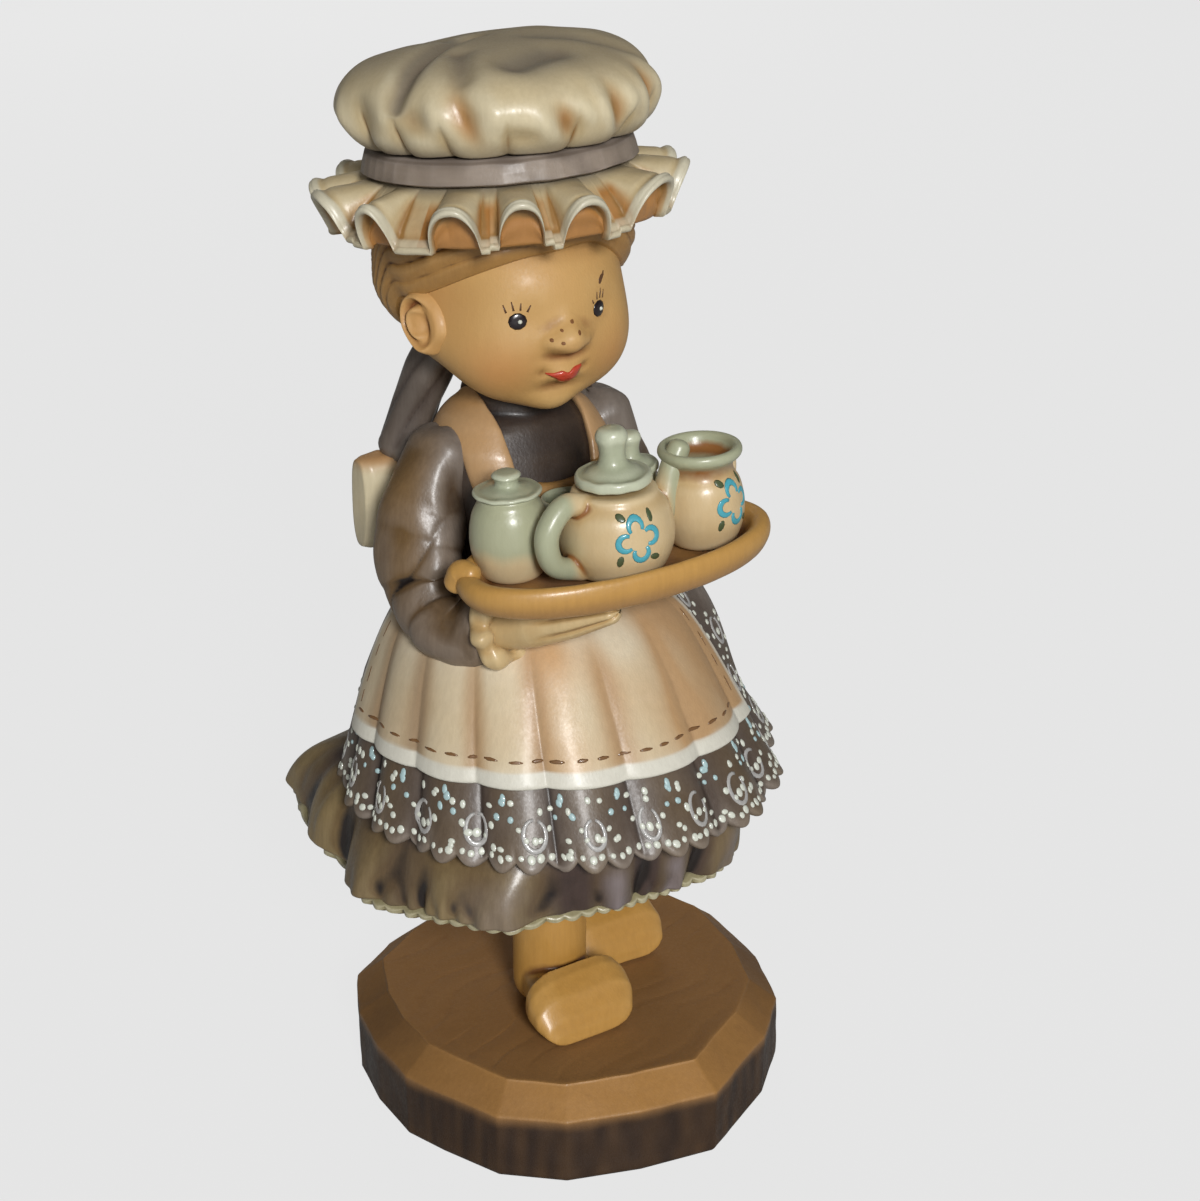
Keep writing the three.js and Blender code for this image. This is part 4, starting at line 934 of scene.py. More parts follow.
def gouged(points):
    turn = np.radians(GOUGE_TURN)
    x = points[:, 0] * np.cos(turn) - points[:, 1] * np.sin(turn)
    y = points[:, 0] * np.sin(turn) + points[:, 1] * np.cos(turn)
    rows = y / GOUGE_WIDTH + 0.35 * np.sin(x / 7.3) + 0.25 * np.sin(x / 3.1 + y / 9)
    fade = 0.5 + 0.5 * np.sin(x / 6.5 + 1.7 * np.floor(rows))
    return 0.12 * (np.abs(np.sin(np.pi * rows)) ** 0.8 - 1) * fade


print(len(CORNERS), "corners, gouge", GOUGE_WIDTH, "mm wide")

# %% [markdown]
# ## Block
# The upper edge is cut away with a broad chisel in flat facets. The grid goes from the middle
# of the underside out, up the side, over the facet and in across the top. The facets are paler
# than the sides, which stay dark; the facets in front get a painted highlight, where the light
# falls, and those at the far left and right a painted shade.

# %% Block
FACET = 4.2
BLOCK_PATH = np.array([  # share of the grid, way out or in, and height
    [0, 0, 0], [0.1, 0.99, 0], [0.115, 1, 0.4], [0.34, 1, 9.3], [0.355, 1, 9.6],
    [0.5, 0, 12.9], [0.515, 0, 13], [1, -1, 13]])


def block_rule(u, v):
    degrees = 360 * u - 180
    outer, inner = outline_radius(degrees, 0), outline_radius(degrees, FACET)
    at, rise = read_off(BLOCK_PATH[:, 1:], BLOCK_PATH[:, 0], v).T
    top_radius = np.where(v < 0.515, mix(inner, outer, at), inner * (1 + at))
    radius = np.where(v < 0.115, outer * at, top_radius)
    dx, dy = outward(degrees)
    points = stacked(radius * dx, radius * dy, rise)
    on_top = ease(v, 0.505, 0.56)
    points[:, 2] += gouged(points) * on_top
    near_feet = sum(np.exp(-(np.hypot(points[:, 0] - x, points[:, 1] - y - 8) / 11) ** 4)
                    for x, y, _ in TOES.values())
    points[:, 2] -= 0.1 * on_top * (1 - near_feet)
    facet = ease(v, 0.335, 0.36) * (1 - ease(v, 0.5, 0.53))
    sides = 1 - ease(v + 0.012 * ripple(points, 7, 31), 0.3, 0.365)
    wobble = 0.25 * ripple(points, 11, 33) + 0.12 * ripple(points, 4, 34)
    wobble = wobble * ease(v, 0.1, 0.14) * (1 - on_top)
    points[:, 0] += wobble * dx
    points[:, 1] += wobble * dy
    # paler facets, with a painted highlight on those in front, turned to the light
    tone_and_painted_light = 0.45 + 0.55 * near_direction(degrees, -15, 42) + 0.3 * ripple(points, 13, 36)
    # painted shade on the facets at the far left and right, turned from the light
    far = near_direction(degrees, -110, 30) + near_direction(degrees, 75, 34)
    dark = sides * (0.9 + 0.12 * ripple(points * (3, 3, 0.4), 6, 37))
    dark += 0.5 * far * (1 - on_top) * facet
    return points, {"wash_and_painted_light": 0.9 * facet * np.clip(tone_and_painted_light, 0, 1), "trim": np.clip(dark, 0, 0.98)}


block = formed("chip_carved_block", 720, 120, block_rule)
hand_over(block, block_paint, "block_stain", "base_block", reach_mm=1.6, full_mm=0.6)

# %% [markdown]
# ## Bodice
# The body is a stack of ovals that narrows from chest to neck, with a rolled collar. A table
# gives their sizes, so that later pieces can ask where the body's surface is.

# %% Bodice
BODICE = np.array([  # share of the height, half width, half depth, lean back
    [0, 11.4, 9.4, 0], [0.25, 12, 9.8, 1], [0.48, 13, 9.6, 2], [0.66, 13, 8.8, 2.7],
    [0.78, 10.6, 7.8, 3.1], [0.86, 7.6, 6.9, 3.4], [0.93, 6.4, 6.2, 3.7], [1, 6, 5.9, 3.9]])
NECK = 104


def body_section(z):
    share = (z - WAIST) / (NECK - WAIST)
    return (*read_off(BODICE[:, 1:], BODICE[:, 0], share).T, share)


def bodice_rule(u, v):
    z = mix(WAIST - 2, NECK - 0.4, part(v, END, 1 - END))
    half_width, half_depth, lean, share = body_section(z)
    closing = closed_ends(v)
    collar = 0.5 * hill(share, 0.93, 0.03) - 0.35 * hill(share, 0.85, 0.025)
    angle = TURN * u
    points = stacked(
        WAIST_SHIFT[0] - 0.5 * share + (half_width + collar) * closing * np.cos(angle),
        WAIST_SHIFT[1] + lean + (half_depth + collar) * closing * np.sin(angle), z)
    return points + (0.12 * ripple(points, 5, 41) * closing)[:, None]


bodice = formed("bodice_and_collar", 160, 110, bodice_rule)
hand_over(bodice, collar_paint, "plum_paint", "bodice", reach_mm=1.4, full_mm=0.3)

# %% [markdown]
# ## A ray to the body's surface
# Bib and straps lie on the body. They could be shrinkwrapped on it, but a ray from inside the
# body does the same and keeps their edges exact: it is halved again and again until it ends on
# the surface.

# %% A ray to the body's surface
HALVINGS = 26
RAY_MM = 40.0


def body_reach(origin, direction):
    near, far = np.zeros(len(origin)), np.full(len(origin), RAY_MM)
    for _ in range(HALVINGS):
        middle = (near + far) / 2
        p = origin + direction * middle[:, None]
        half_width, half_depth, lean, share = body_section(p[:, 2])
        x = (p[:, 0] - WAIST_SHIFT[0] + 0.5 * share) / half_width
        y = (p[:, 1] - WAIST_SHIFT[1] - lean) / half_depth
        inside = (share < 1) & (x * x + y * y < 1)
        near, far = np.where(inside, middle, near), np.where(inside, far, middle)
    return near


def on_body(origin, direction, offset):
    return origin + direction * (body_reach(origin, direction) + offset)[:, None]


print("The ray ends within", RAY_MM / 2 ** HALVINGS, "mm")

# %% [markdown]
# ## Bib and straps
# The bib is a plate that bends round the chest. A strap is a flat band that runs over the
# shoulder from the bib to the bow. Both are worn, so the honey of the wood shows through.

# %% Bib and straps
def bib_rule(u, v):
    down, inward, bulge = round_the_hem(v, 0.46, 0.08)
    across = 2 * u - 1
    top = WAIST + 14.3 + 2.2 * np.abs(across) ** 2.4
    z = mix(WAIST + 0.5, top, down) + 0.4 * bulge
    spread = 0.8 * across
    thick = np.sqrt(np.clip(1 - np.abs(across) ** 12, 0, 1))
    return on_body(stacked(WAIST_SHIFT[0], WAIST_SHIFT[1] + 2, z),
                   stacked(np.sin(spread), -np.cos(spread), 0),
                   0.9 + (0.5 - inward) * 1.3 * thick)


def strap_rule(hand):
    def rule(u, v):
        over = np.radians(mix(-12, 196, v))
        draw_in = mix(0.82, 1, np.sin(np.pi * v))
        side, lift = np.cos(TURN * u), np.sin(TURN * u)
        x = WAIST_SHIFT[0] + hand * 9.3 * draw_in + 2.5 * signed_power(side, 0.7)
        closing = np.sqrt(np.clip(1 - np.abs(2 * v - 1) ** 40, 0, 1))
        return on_body(stacked(x, WAIST_SHIFT[1] + 2.6, WAIST + 11.5),
                       stacked(0, -np.cos(over), np.sin(over)),
                       0.3 + 1.0 * signed_power(lift, 0.6) * closing)

    return rule


bib = formed("apron_bib_front", 80, 60, bib_rule)
hand_over(bib, cream_paint, "cream_paint", "apron_bib", reach_mm=1.4, full_mm=0.3)
store(bib, "wash_and_painted_light", 0.25)
for side, hand in SIDES.items():
    strap = formed(f"{side}_shoulder_strap", 24, 90, strap_rule(hand))
    hand_over(strap, cream_paint, "cream_paint", f"{side}_strap", reach_mm=1.2, full_mm=0.3)
    store(strap, "wash_and_painted_light", 0.7)

# %% [markdown]
# ## Sleeves
# The sleeves are full and creased: deep cuts fan out inside the elbow, and long shallow ones
# run down the upper arm. The crease depth is a sum of a few narrow waves, strongest at the
# elbow. The ochre of the wood shows through on the outer side.

# %% Sleeves
ARMS = {
    "right": [(-12.6, 9.5, 94.5), (-16.8, 8.5, 86), (-18, 5, 76.7), (-17.4, -2, 73.6),
              (-15.6, -7, 75.4)],
    "left": [(11, 9.3, 96), (13.4, 9, 86.5), (14.6, 6, 78.5), (13.2, 0, 77), (11.4, -4, 79.6)]}
ARM_RADII = [5.2, 6.1, 6.2, 5.4, 4.2]


def sleeve_folds(angle, along):
    elbow = hill(along, 0.58, 0.24)
    fan = np.abs(np.sin(1.5 * angle + 7 * along + 0.6 * np.sin(2 * angle))) ** 0.6 - 0.7
    rings = np.abs(np.sin(16 * along + 1.2 * np.sin(angle))) ** 0.7 - 0.6
    dents = np.sin(3 * angle + 5 * along) * np.sin(9 * along + 1)
    return 1.0 * elbow * fan + 0.5 * elbow * rings + 0.4 * dents


for side, hand in SIDES.items():
    rule = limb_rule(ARMS[side], ARM_RADII, sleeve_folds, side=(hand, 0, 0.2))
    sleeve = formed(f"{side}_creased_sleeve", 128, 130, rule)
    points = in_mm(sleeve)
    outer_side = ease(hand * points[:, 0], 12, 21) * (0.7 + 0.5 * ripple(points, 8, 51))
    roughen(sleeve, 0.2, 3.6, 52)
    hand_over(sleeve, sleeve_paint, "plum_paint", f"{side}_sleeve", reach_mm=1.8, full_mm=0.3)
    back = ease(in_mm(sleeve)[:, 1], -2, 8)
    store(sleeve, "wash_and_painted_light", np.clip(outer_side * (0.35 + 0.65 * back), 0, 0.85))

# %% [markdown]
# ## A cuff's rule
# A cuff is a frilled ring at the sleeve's end. It is made as a torus would be: the grid goes
# round the wrist one way and round the ring's section the other way, and its outer half waves.

# %% A cuff's rule
CUFF_RADIUS, CUFF_THICK = 4.1, 1.35


def wrist(side):
    before, end = np.array(ARMS[side][-2:], float)
    return end, unit(end - before)


def cuff_rule(side):
    end, along = wrist(side)
    across = unit(np.cross(along, (0, 0, 1.0)))
    upward = np.cross(across, along)

    def rule(u, v):
        angle, lap = TURN * u, TURN * v
        wave = 0.75 * np.cos(7 * angle + 0.8 * np.sin(3 * angle))
        frill = 0.7 * wave * ease(np.cos(lap), -0.5, 1)
        radius = CUFF_RADIUS + CUFF_THICK * np.cos(lap) + frill
        reach = 1.4 + 1.5 * np.sin(lap) + 0.35 * wave
        return (end + along * reach[:, None] + across * (radius * np.cos(angle))[:, None]
                + upward * (radius * np.sin(angle))[:, None])

    return rule


print("A cuff is", 2 * (CUFF_RADIUS + CUFF_THICK), "mm wide without its frill")

# %% [markdown]
# ## Cuffs and hands
# The hands hold the tray from below, so only a palm with four fingers side by side shows. A
# limb serves, with three grooves that start half way along and part the fingers. Cuff and hand
# are made together, one side after the other.

# %% Cuffs and hands
REACH = {"right": (0.5, -0.8, 0.3), "left": (-0.75, -0.6, 0.2)}
HAND_LENGTH = {"right": 15.5, "left": 9}
FINGER_GAPS = (-0.5, 0.35, 1.2)


def finger_lines(angle, along):
    gaps = sum(hill(np.angle(np.exp(1j * (angle - middle))), 0, 0.16) for middle in FINGER_GAPS)
    return -0.45 * gaps * ease(along, 0.35, 0.6)


for side in SIDES:
    cuff = formed(f"{side}_frilled_cuff", 140, 36, cuff_rule(side))
    roughen(cuff, 0.16, 2.6, 55)
    hand_over(cuff, hand_paint, "honey_stain", f"{side}_cuff", reach_mm=0.9, full_mm=0.25)
    end, along = wrist(side)
    toward = unit(np.array(REACH[side])) * HAND_LENGTH[side]
    stations = [end + along * (1.2 + min(1.2, 3.6 * share)) + toward * share
                for share in (0, 0.3, 0.65, 1)]
    rule = limb_rule(stations, [3.4, 3.7, 3.1, 1.9], finger_lines, squash=0.86)
    palm = formed(f"{side}_palm", 96, 90, rule)
    hand_over(palm, hand_paint, "skin_paint", f"{side}_hand", reach_mm=1.2, full_mm=0.3)

# %% [markdown]
# ## Tray
# The tray is an oval plate with a thick round rim, tilted a little because her left hand holds
# it higher. It is built level, and then its points are moved into place. Her right thumb lies
# on the rim.

# %% Tray
TRAY_MATRIX = np.array(Matrix.Translation((-1, -14.2, 83.9))
                       @ Matrix.Rotation(np.radians(-5), 4, "Z")
                       @ Matrix.Rotation(np.radians(-3.4), 4, "Y"))
TRAY_HALF = (22.4, 12)
TRAY_PROFILE = np.array([  # share of the way out, and height
    [0, -1.8], [0.5, -1.8], [0.8, -1.75], [0.93, -1.2], [0.985, 0.1], [1, 1.4], [0.985, 2.5],
    [0.95, 3], [0.91, 2.95], [0.875, 2.4], [0.845, 1.4], [0.8, 0.35], [0.74, 0.06], [0.5, 0],
    [0, 0]])
DRAWN = 20


def tray_rule(u, v):
    line, share = curve_through(TRAY_PROFILE * (DRAWN, 1), 12)
    out, level = read_off(line / (DRAWN, 1), share, v).T
    angle = TURN * u
    points = stacked(TRAY_HALF[0] * out * signed_power(np.cos(angle), 0.95),
                     TRAY_HALF[1] * out * signed_power(np.sin(angle), 0.95), level)
    points[:, 2] += 0.07 * ripple(points, 5, 61)
    inside = (1 - ease(out, 0.78, 0.9)) * ease(v, 0.5, 0.55)
    # painted shade on the rim's lower side
    under = 0.5 * (1 - ease(level, -1.0, 1.6)) * (1 - inside)
    cloudy = inside * (0.75 + 0.5 * ripple(points, 7, 62))
    return points, {"wash_and_painted_light": np.clip(cloudy + under, 0, 0.9)}


tray = formed("oval_tea_tray", 220, 110, tray_rule)
move_points(tray, TRAY_MATRIX)
hand_over(tray, honey_paint, "honey_stain", "tray", reach_mm=1.6, full_mm=0.5)

grip = TRAY_MATRIX[:3, :3] @ (-21.2, 2.6, 2.8) + TRAY_MATRIX[:3, 3]
stations = [grip + (0.2, 1.6, -1.8), grip + (0.5, 0.6, -0.1), grip + (1.1, -1.2, 0.1)]
thumb = formed("thumb_on_the_rim", 48, 48, limb_rule(stations, [1.6, 1.7, 1.3]))
hand_over(thumb, honey_paint, "skin_paint", "right_thumb", reach_mm=1, full_mm=0.3)

# %% [markdown]
# ## Teapot
# Five small pots stand so close that they touch. Each body is turned from the same profile,
# and a handle and a spout are bent limbs that are grown into it. The *wash* value is green
# paint here: on the teapot it covers handle and spout.

# %% Teapot
BELLY = np.array([  # shares of radius and height
    (0, 0), (0.4, 0), (0.74, 0.05), (0.94, 0.26), (1, 0.5), (0.92, 0.76), (0.76, 0.92),
    (0.7, 1), (0.4, 1), (0, 1)])
TEAPOT_SIZE, TEAPOT_PLACE = (7.6, 11.6), (-1.2, -2.6, 0.1)


def tray_place(x, y, z, heading=0.0):
    turn = Matrix.Rotation(np.radians(heading), 4, "Z")
    return TRAY_MATRIX @ np.array(Matrix.Translation((x, y, z)) @ turn)


def bent(name, shares, size, radii):
    """A limb beside a pot: its stations are shares of the pot's radius and height."""
    stations = [(out * size[0], 0, up * size[1]) for out, up in shares]
    return formed(name, 40, 60, limb_rule(stations, radii, side=(0, 1, 0)))


belly = turned("teapot_belly", BELLY * TEAPOT_SIZE)
handle = bent("teapot_handle", [(-0.62, 0.9), (-1.08, 0.96), (-1.46, 0.7), (-1.36, 0.34),
                                (-0.78, 0.16)], TEAPOT_SIZE, [1.5, 1.6, 1.6, 1.5, 1.4])
spout = bent("teapot_spout", [(0.6, 0.3), (1.02, 0.58), (1.24, 0.95), (1.46, 1.2)],
             TEAPOT_SIZE, [2.6, 2.1, 1.6, 1.5])
teapot = grown_together("teapot_with_spout", [belly, handle, spout], 0.22, 7)
x_out = np.abs(in_mm(teapot)[:, 0]) / TEAPOT_SIZE[0]
move_points(teapot, tray_place(*TEAPOT_PLACE, heading=10))
hand_over(teapot, pot_paint, "pot_paint", "teapot", reach_mm=1.5, full_mm=0.32)
store(teapot, "wash_and_painted_light", 0.95 * ease(x_out, 0.9, 1.15))

# %% [markdown]
# ## Lids and lidded pots
# A lid is a shallow dome with a round knob, turned in one profile. Sugar pot and back pot are
# a belly with such a lid, and shade from peach below to the pale green of their lids.

# %% Lids and lidded pots
LID = np.array([(0, 0), (0.6, 0), (0.94, 0.02), (1, 0.1), (0.95, 0.19), (0.78, 0.2),
                (0.62, 0.26), (0.4, 0.36)])
KNOB = np.array([(0.8, 0.5), (0.85, 0.66), (1, 0.82), (0.75, 0.96), (0, 1)])
POTS = [  # name, body (radius, height), lid (radius, height, knob), place, green from
    ("sugar_pot", (5.3, 11.4), (4.5, 3.0, 1.9), (-13.2, 3.9), 86),
    ("back_pot", (4.6, 10), (3.8, 5.4, 1.6), (5.4, 4.9), 87)]


def add_lid(name, node, radius, height, knob, place):
    profile = np.vstack([LID * (radius, height), KNOB * (knob, height)])
    cover = turned(name, profile)
    roughen(cover, 0.08, 3, 73)
    move_points(cover, tray_place(*place))
    hand_over(cover, green_paint, "pale_green_paint", node, reach_mm=1, full_mm=0.28)


x, y, _ = TEAPOT_PLACE
add_lid("teapot_lid_with_knob", "teapot_lid", 5.0, 7.6, 2.1, (x, y, TEAPOT_SIZE[1] + 0.7))
for pot, size, lid, (x, y), green_from in POTS:
    body = turned(f"{pot}_body", BELLY * size)
    move_points(body, tray_place(x, y, 0.1))
    hand_over(body, pot_paint, "pot_paint", pot, reach_mm=1.2, full_mm=0.3)
    points = in_mm(body)
    green = ease(points[:, 2], green_from, green_from + 3) + 0.25 * ripple(points, 4, 71)
    store(body, "wash_and_painted_light", np.clip(green, 0, 0.9))
    add_lid(f"{pot}_cover", f"{pot}_lid", *lid, (x, y, size[1] + 0.2))

# %% [markdown]
# ## Jug and cup
# The jug's profile runs on over a thick rim and down into the hollow, so that its wall is one
# closed form. The cup behind the teapot is a small turned bowl of the same kind.

# %% Jug and cup
JUG_SIZE, JUG_MOUTH, JUG_PLACE, JUG_HEADING = (5.7, 13.8), 5.5, (12.6, -1, 0.1), -150
JUG_BELLY = (JUG_SIZE[0], 0.82 * JUG_SIZE[1])
JUG_RIM = np.array([(0.8, 0.84), (0.97, 0.9), (1.02, 0.95), (0.95, 1), (0.8, 0.98),
                    (0.64, 0.86), (0.3, 0.83), (0, 0.83)])
CUP = [(0, 0), (1.6, 0), (2.4, 0.4), (3.2, 3), (3.5, 6), (3.6, 7.6), (3.35, 8), (3, 7.6),
       (2.4, 6.2), (0, 6)]

profile = np.vstack([BELLY[:-3] * JUG_BELLY, JUG_RIM * (JUG_MOUTH, JUG_SIZE[1])])
belly = turned("jug_belly", profile)
handle = bent("jug_handle", [(-0.86, 0.76), (-1.14, 0.82), (-1.3, 0.55), (-0.8, 0.3)],
              JUG_SIZE, [1.2, 1.2, 1.1, 1.1])
jug = grown_together("cream_jug_with_handle", [belly, handle], 0.22, 5)
up = in_mm(jug)[:, 2] / JUG_SIZE[1]
move_points(jug, tray_place(*JUG_PLACE, heading=JUG_HEADING))
hand_over(jug, pot_paint, "pot_paint", "cream_jug", reach_mm=1.3, full_mm=0.3)
store(jug, "wash_and_painted_light", np.clip(ease(up, 0.74, 0.84), 0, 0.95))

cup = turned("little_cup", CUP)
move_points(cup, tray_place(-3.4, 6.2, 0.1))
hand_over(cup, green_paint, "pale_green_paint", "tea_cup", reach_mm=1, full_mm=0.3)

# %% [markdown]
# ## A bow loop's rule
# The apron is tied behind in a full bow. A loop is a puffed bag, pinched in at the knot, with
# creases that run out from it. A table gives its height and depth on the way out.

# %% A bow loop's rule
BOW = np.array([-2.0, 20.6, 85.2])
LOOP = np.array([  # share of the way out, height, depth
    [0.12, 0.34, 0.6], [0.3, 0.62, 0.86], [0.55, 0.9, 1], [0.8, 1, 1], [0.94, 0.97, 0.9],
    [1, 0.92, 0.62]])
LOOP_LENGTH, LOOP_HEIGHT, LOOP_DEPTH = 17.4, 6.75, 3


def loop_rule(hand):
    def rule(u, v):
        out = mix(0.1, 1, part(v, END, 1 - END))
        closing = np.sqrt(closed_ends(v))
        tall, deep = read_off(LOOP[:, 1:], LOOP[:, 0], out).T
        angle = TURN * u
        crease = 0.6 * (np.abs(np.sin(3.5 * angle + 0.5)) ** 0.6 - 0.6)
        crease = crease * (1 - ease(out, 0.45, 1)) * ease(out, 0.1, 0.3)
        side = (LOOP_DEPTH * deep + crease) * signed_power(np.cos(angle), 0.7) * closing
        lift = (LOOP_HEIGHT * tall + crease) * signed_power(np.sin(angle), 0.7) * closing
        points = BOW + stacked(hand * LOOP_LENGTH * out, 1.5 * out + side, lift - 0.4 * out)
        return points + 0.15 * ripple(points, 6, 81)[:, None]

    return rule


print("The bow is", 2 * LOOP_LENGTH, "mm wide")

# %% [markdown]
# ## Bow
# The tails hang over the skirt and follow its pleats. The knot is a small ball, wrapped in
# ridges. The loops' upper sides show over the shoulder and keep more ochre.

# %% Bow
def tail_rule(hand):
    def rule(u, v):
        down, inward, bulge = round_the_hem(v, 0.45, 0.1)
        end = APRON_HEM + 5 + 1.5 * (2 * u - 1) * hand
        z = mix(BOW[2] - 4, end, down) - 0.4 * bulge
        spread = hand * mix(7, 15, down) + (u - 0.5) * mix(10, 13, down)
        edge = np.sqrt(np.clip(1 - np.abs(2 * u - 1) ** 10, 0, 1))
        lift = 0.8 + (0.5 - inward) * edge * 1.1 + 0.35 * np.cos(12 * u) * down
        x, y, _ = on_tier(180 - spread, np.minimum(z, WAIST), lift + 0.2).T
        _, half_depth, lean, _ = body_section(np.maximum(z, WAIST))
        behind = np.where(z > WAIST, WAIST_SHIFT[1] + lean + half_depth + lift, 0)
        return stacked(x, np.maximum(y, behind), z)

    return rule


def knot_rule(u, v):
    angle, ring = TURN * u, np.sin(np.pi * v)
    wrapped = 1 + 0.06 * np.cos(30 * u)
    return BOW + stacked(1.9 * signed_power(np.cos(angle), 0.7) * ring,
                         3.3 * signed_power(np.sin(angle), 0.9) * ring * wrapped,
                         3.6 * np.cos(np.pi * v))


for side, hand in SIDES.items():
    loop = formed(f"{side}_bow_puff", 96, 80, loop_rule(hand))
    hand_over(loop, cream_paint, "cream_paint", f"{side}_bow_loop", reach_mm=1.8, full_mm=0.4)
    store(loop, "wash_and_painted_light", 0.8 * ease(in_mm(loop)[:, 2], 89, 91.5))
    tail = formed(f"{side}_bow_end", 60, 90, tail_rule(hand))
    hand_over(tail, cream_paint, "cream_paint", f"{side}_bow_tail", reach_mm=1.6, full_mm=0.35)
knot = formed("bow_knot_wrap", 64, 48, knot_rule)
hand_over(knot, cream_paint, "cream_paint", "bow_knot", reach_mm=1, full_mm=0.3)

# %% [markdown]
# ## The forms of the face
# A doll's head: a ball with round cheeks, a small chin, a button nose and shallow sockets. Each
# feature is a soft bump on the ball, placed by its direction in degrees round and up.

# %% The forms of the face
MIDDLE = -2
FACE_FORMS = [  # height in mm, direction round and up, width and height in degrees
    (1.4, 40, -27, 24, 24), (1.4, -40, -27, 24, 24),  # cheeks
    (1.7, MIDDLE, -46, 13, 10), (-0.7, MIDDLE, -35.5, 10, 4),  # chin, and the dip above it
    (0.3, MIDDLE, 16, 40, 16), (-0.6, 21, 0, 10, 10), (-0.6, -21, 0, 10, 10),  # brow, sockets
    (-0.25, MIDDLE, 6, 8, 8), (0.5, MIDDLE, -1, 5, 8),  # root and bridge of the nose
    (0.75, -11, -9.8, 3.6, 3.8), (0.75, 7.5, -9.8, 3.6, 3.8),  # nostrils
    (-0.35, MIDDLE, -17.5, 10, 2.6), (-0.1, MIDDLE, -26.2, 8, 1.4),  # under nose, mouth line
    (0.7, MIDDLE, -24.4, 9, 4.2), (0.6, -1, -28, 8, 4),  # lips
    (-0.45, -13, -25.6, 3, 3), (-0.45, 10, -25.2, 3, 3)]  # corners of the mouth
NOSE = (MIDDLE, -8.8, 7.8, 6.6)
NOSE_HEIGHT = 2.3


def aim(degrees, up):
    dx, dy = outward(degrees)
    cosine = np.cos(np.radians(up))
    return stacked(dx * cosine, dy * cosine, np.sin(np.radians(up)))


def bump(d, degrees, up, width, tall=None):
    """1 in the given direction, fading over a width and a height in degrees."""
    round_it = np.degrees(np.arctan2(d[:, 0], -d[:, 1])) - degrees
    round_it = ((round_it + 180) % 360 - 180) * np.cos(np.radians(up))
    rise = np.degrees(np.arcsin(np.clip(d[:, 2], -1, 1)))
    return hill(round_it, 0, width) * hill(rise, up, tall or width)


def both(d, degrees, up, width):
    return bump(d, degrees, up, width) + bump(d, -degrees, up, width)


print(len(FACE_FORMS), "bumps and one button nose")

# %% [markdown]
# ## Head
# The distance from the head's centre is the skull, which narrows to nape and jaw, and all the
# bumps. The face looks a little to its right, so everything is turned about the centre at the
# end. Cheeks and nose are blushed, and a brown painted shade lies at the sides of the head,
# under the chin and nose, in the dip above the chin, and by the hair.

# %% Head
HEAD = (-2, 9.6, 115.2)
FACE_TURN = np.array(Matrix.Translation(HEAD) @ Matrix.Rotation(np.radians(-3), 4, "Z"))


def skull_distance(d):
    nape = 4.6 * ease(d[:, 1], -0.15, 0.75) * ease(-d[:, 2], -0.2, 0.45)
    jaw = 3.0 * ease(-d[:, 2], 0.2, 0.75) * (1 - ease(-d[:, 1], 0, 0.75))
    return 16 - nape - jaw - 1.1 * both(d, 62, 8, 26)


def skin_distance(d):
    forms = sum(height * bump(d, *place) for height, *place in FACE_FORMS)
    ball = np.exp(-(-np.log(bump(d, *NOSE) + 1e-9)) ** 1.5)
    return skull_distance(d) + forms + NOSE_HEIGHT * ball


def in_head(points):
    return points @ FACE_TURN[:3, :3].T + FACE_TURN[:3, 3]


def head_rule(u, v):
    d = aim(360 * u - 180, 180 * v - 90)
    points = in_head(d * skin_distance(d)[:, None])
    blush = 0.5 * bump(d, -36, -24, 17, 14) + 0.4 * bump(d, 30, -22, 14, 14)
    blush += 0.25 * bump(d, MIDDLE, -12, 8) + 0.3 * bump(d, -70, 8, 22, 18)
    blush += 0.12 * ripple(points, 9, 91)
    # painted shade at the sides of the head, under chin and nose, above the chin and by the hair
    shadow = 0.6 * ease(np.abs(360 * u - 180), 62, 110) + 0.45 * ease(-d[:, 2], 0.62, 0.9)
    shadow += 0.5 * bump(d, MIDDLE, -16.5, 9, 2.2) + 0.35 * bump(d, MIDDLE, -34.5, 9, 3)
    shadow += 0.35 * ease(d[:, 2], 0.38, 0.55)
    return points, {"wash_and_painted_light": np.clip(blush, 0, 0.9), "painted_shade_and_sheen": np.clip(shadow, 0, 0.7)}


head = formed("doll_head", 300, 190, head_rule)
hand_over(head, skin_paint, "skin_paint", "head", reach_mm=1.3, full_mm=0.6)

# %% [markdown]
# ## Ears
# An ear is a flat ball with a rolled rim, a groove and a ridge inside it, and a bowl. All four
# are raised or cut along the ball's outer side only, and the ball narrows to a lobe below.

# %% Ears
EAR_LENGTH, EAR_HEIGHT = 3.3, 4.1


def ear_rule(hand):
    seat = aim(np.array([8.0 + hand * 82.0]), np.array([-5.0]))
    middle = (seat * (skull_distance(seat)[:, None] - 0.3))[0]

    def rule(u, v):
        angle, reach, out = TURN * u, np.sin(np.pi * v), np.cos(np.pi * v)
        front, up = reach * np.cos(angle), reach * np.sin(angle)
        behind = 1 - ease(front, -0.1, 0.3)
        rim = 0.9 * hill(reach, 0.84, 0.13) * (1 - 0.8 * ease(front, 0.1, 0.7))
        groove = -0.8 * hill(reach, 0.6, 0.1) * behind * ease(up, -0.6, -0.2)
        ridge = 0.6 * hill(reach, 0.42, 0.12) * behind
        bowl = -1.2 * hill(front, 0.2, 0.26) * hill(up, -0.05, 0.42)
        relief = (rim + groove + ridge + bowl) * ease(out, -0.2, 0.3)
        taper = 1 - 0.4 * ease(-up, 0.1, 1)
        local = stacked(hand * (1.7 * out + relief - 1.0 * front),
                        1.1 * up - EAR_LENGTH * front * taper, EAR_HEIGHT * up)
        return in_head(middle + local)

    return rule


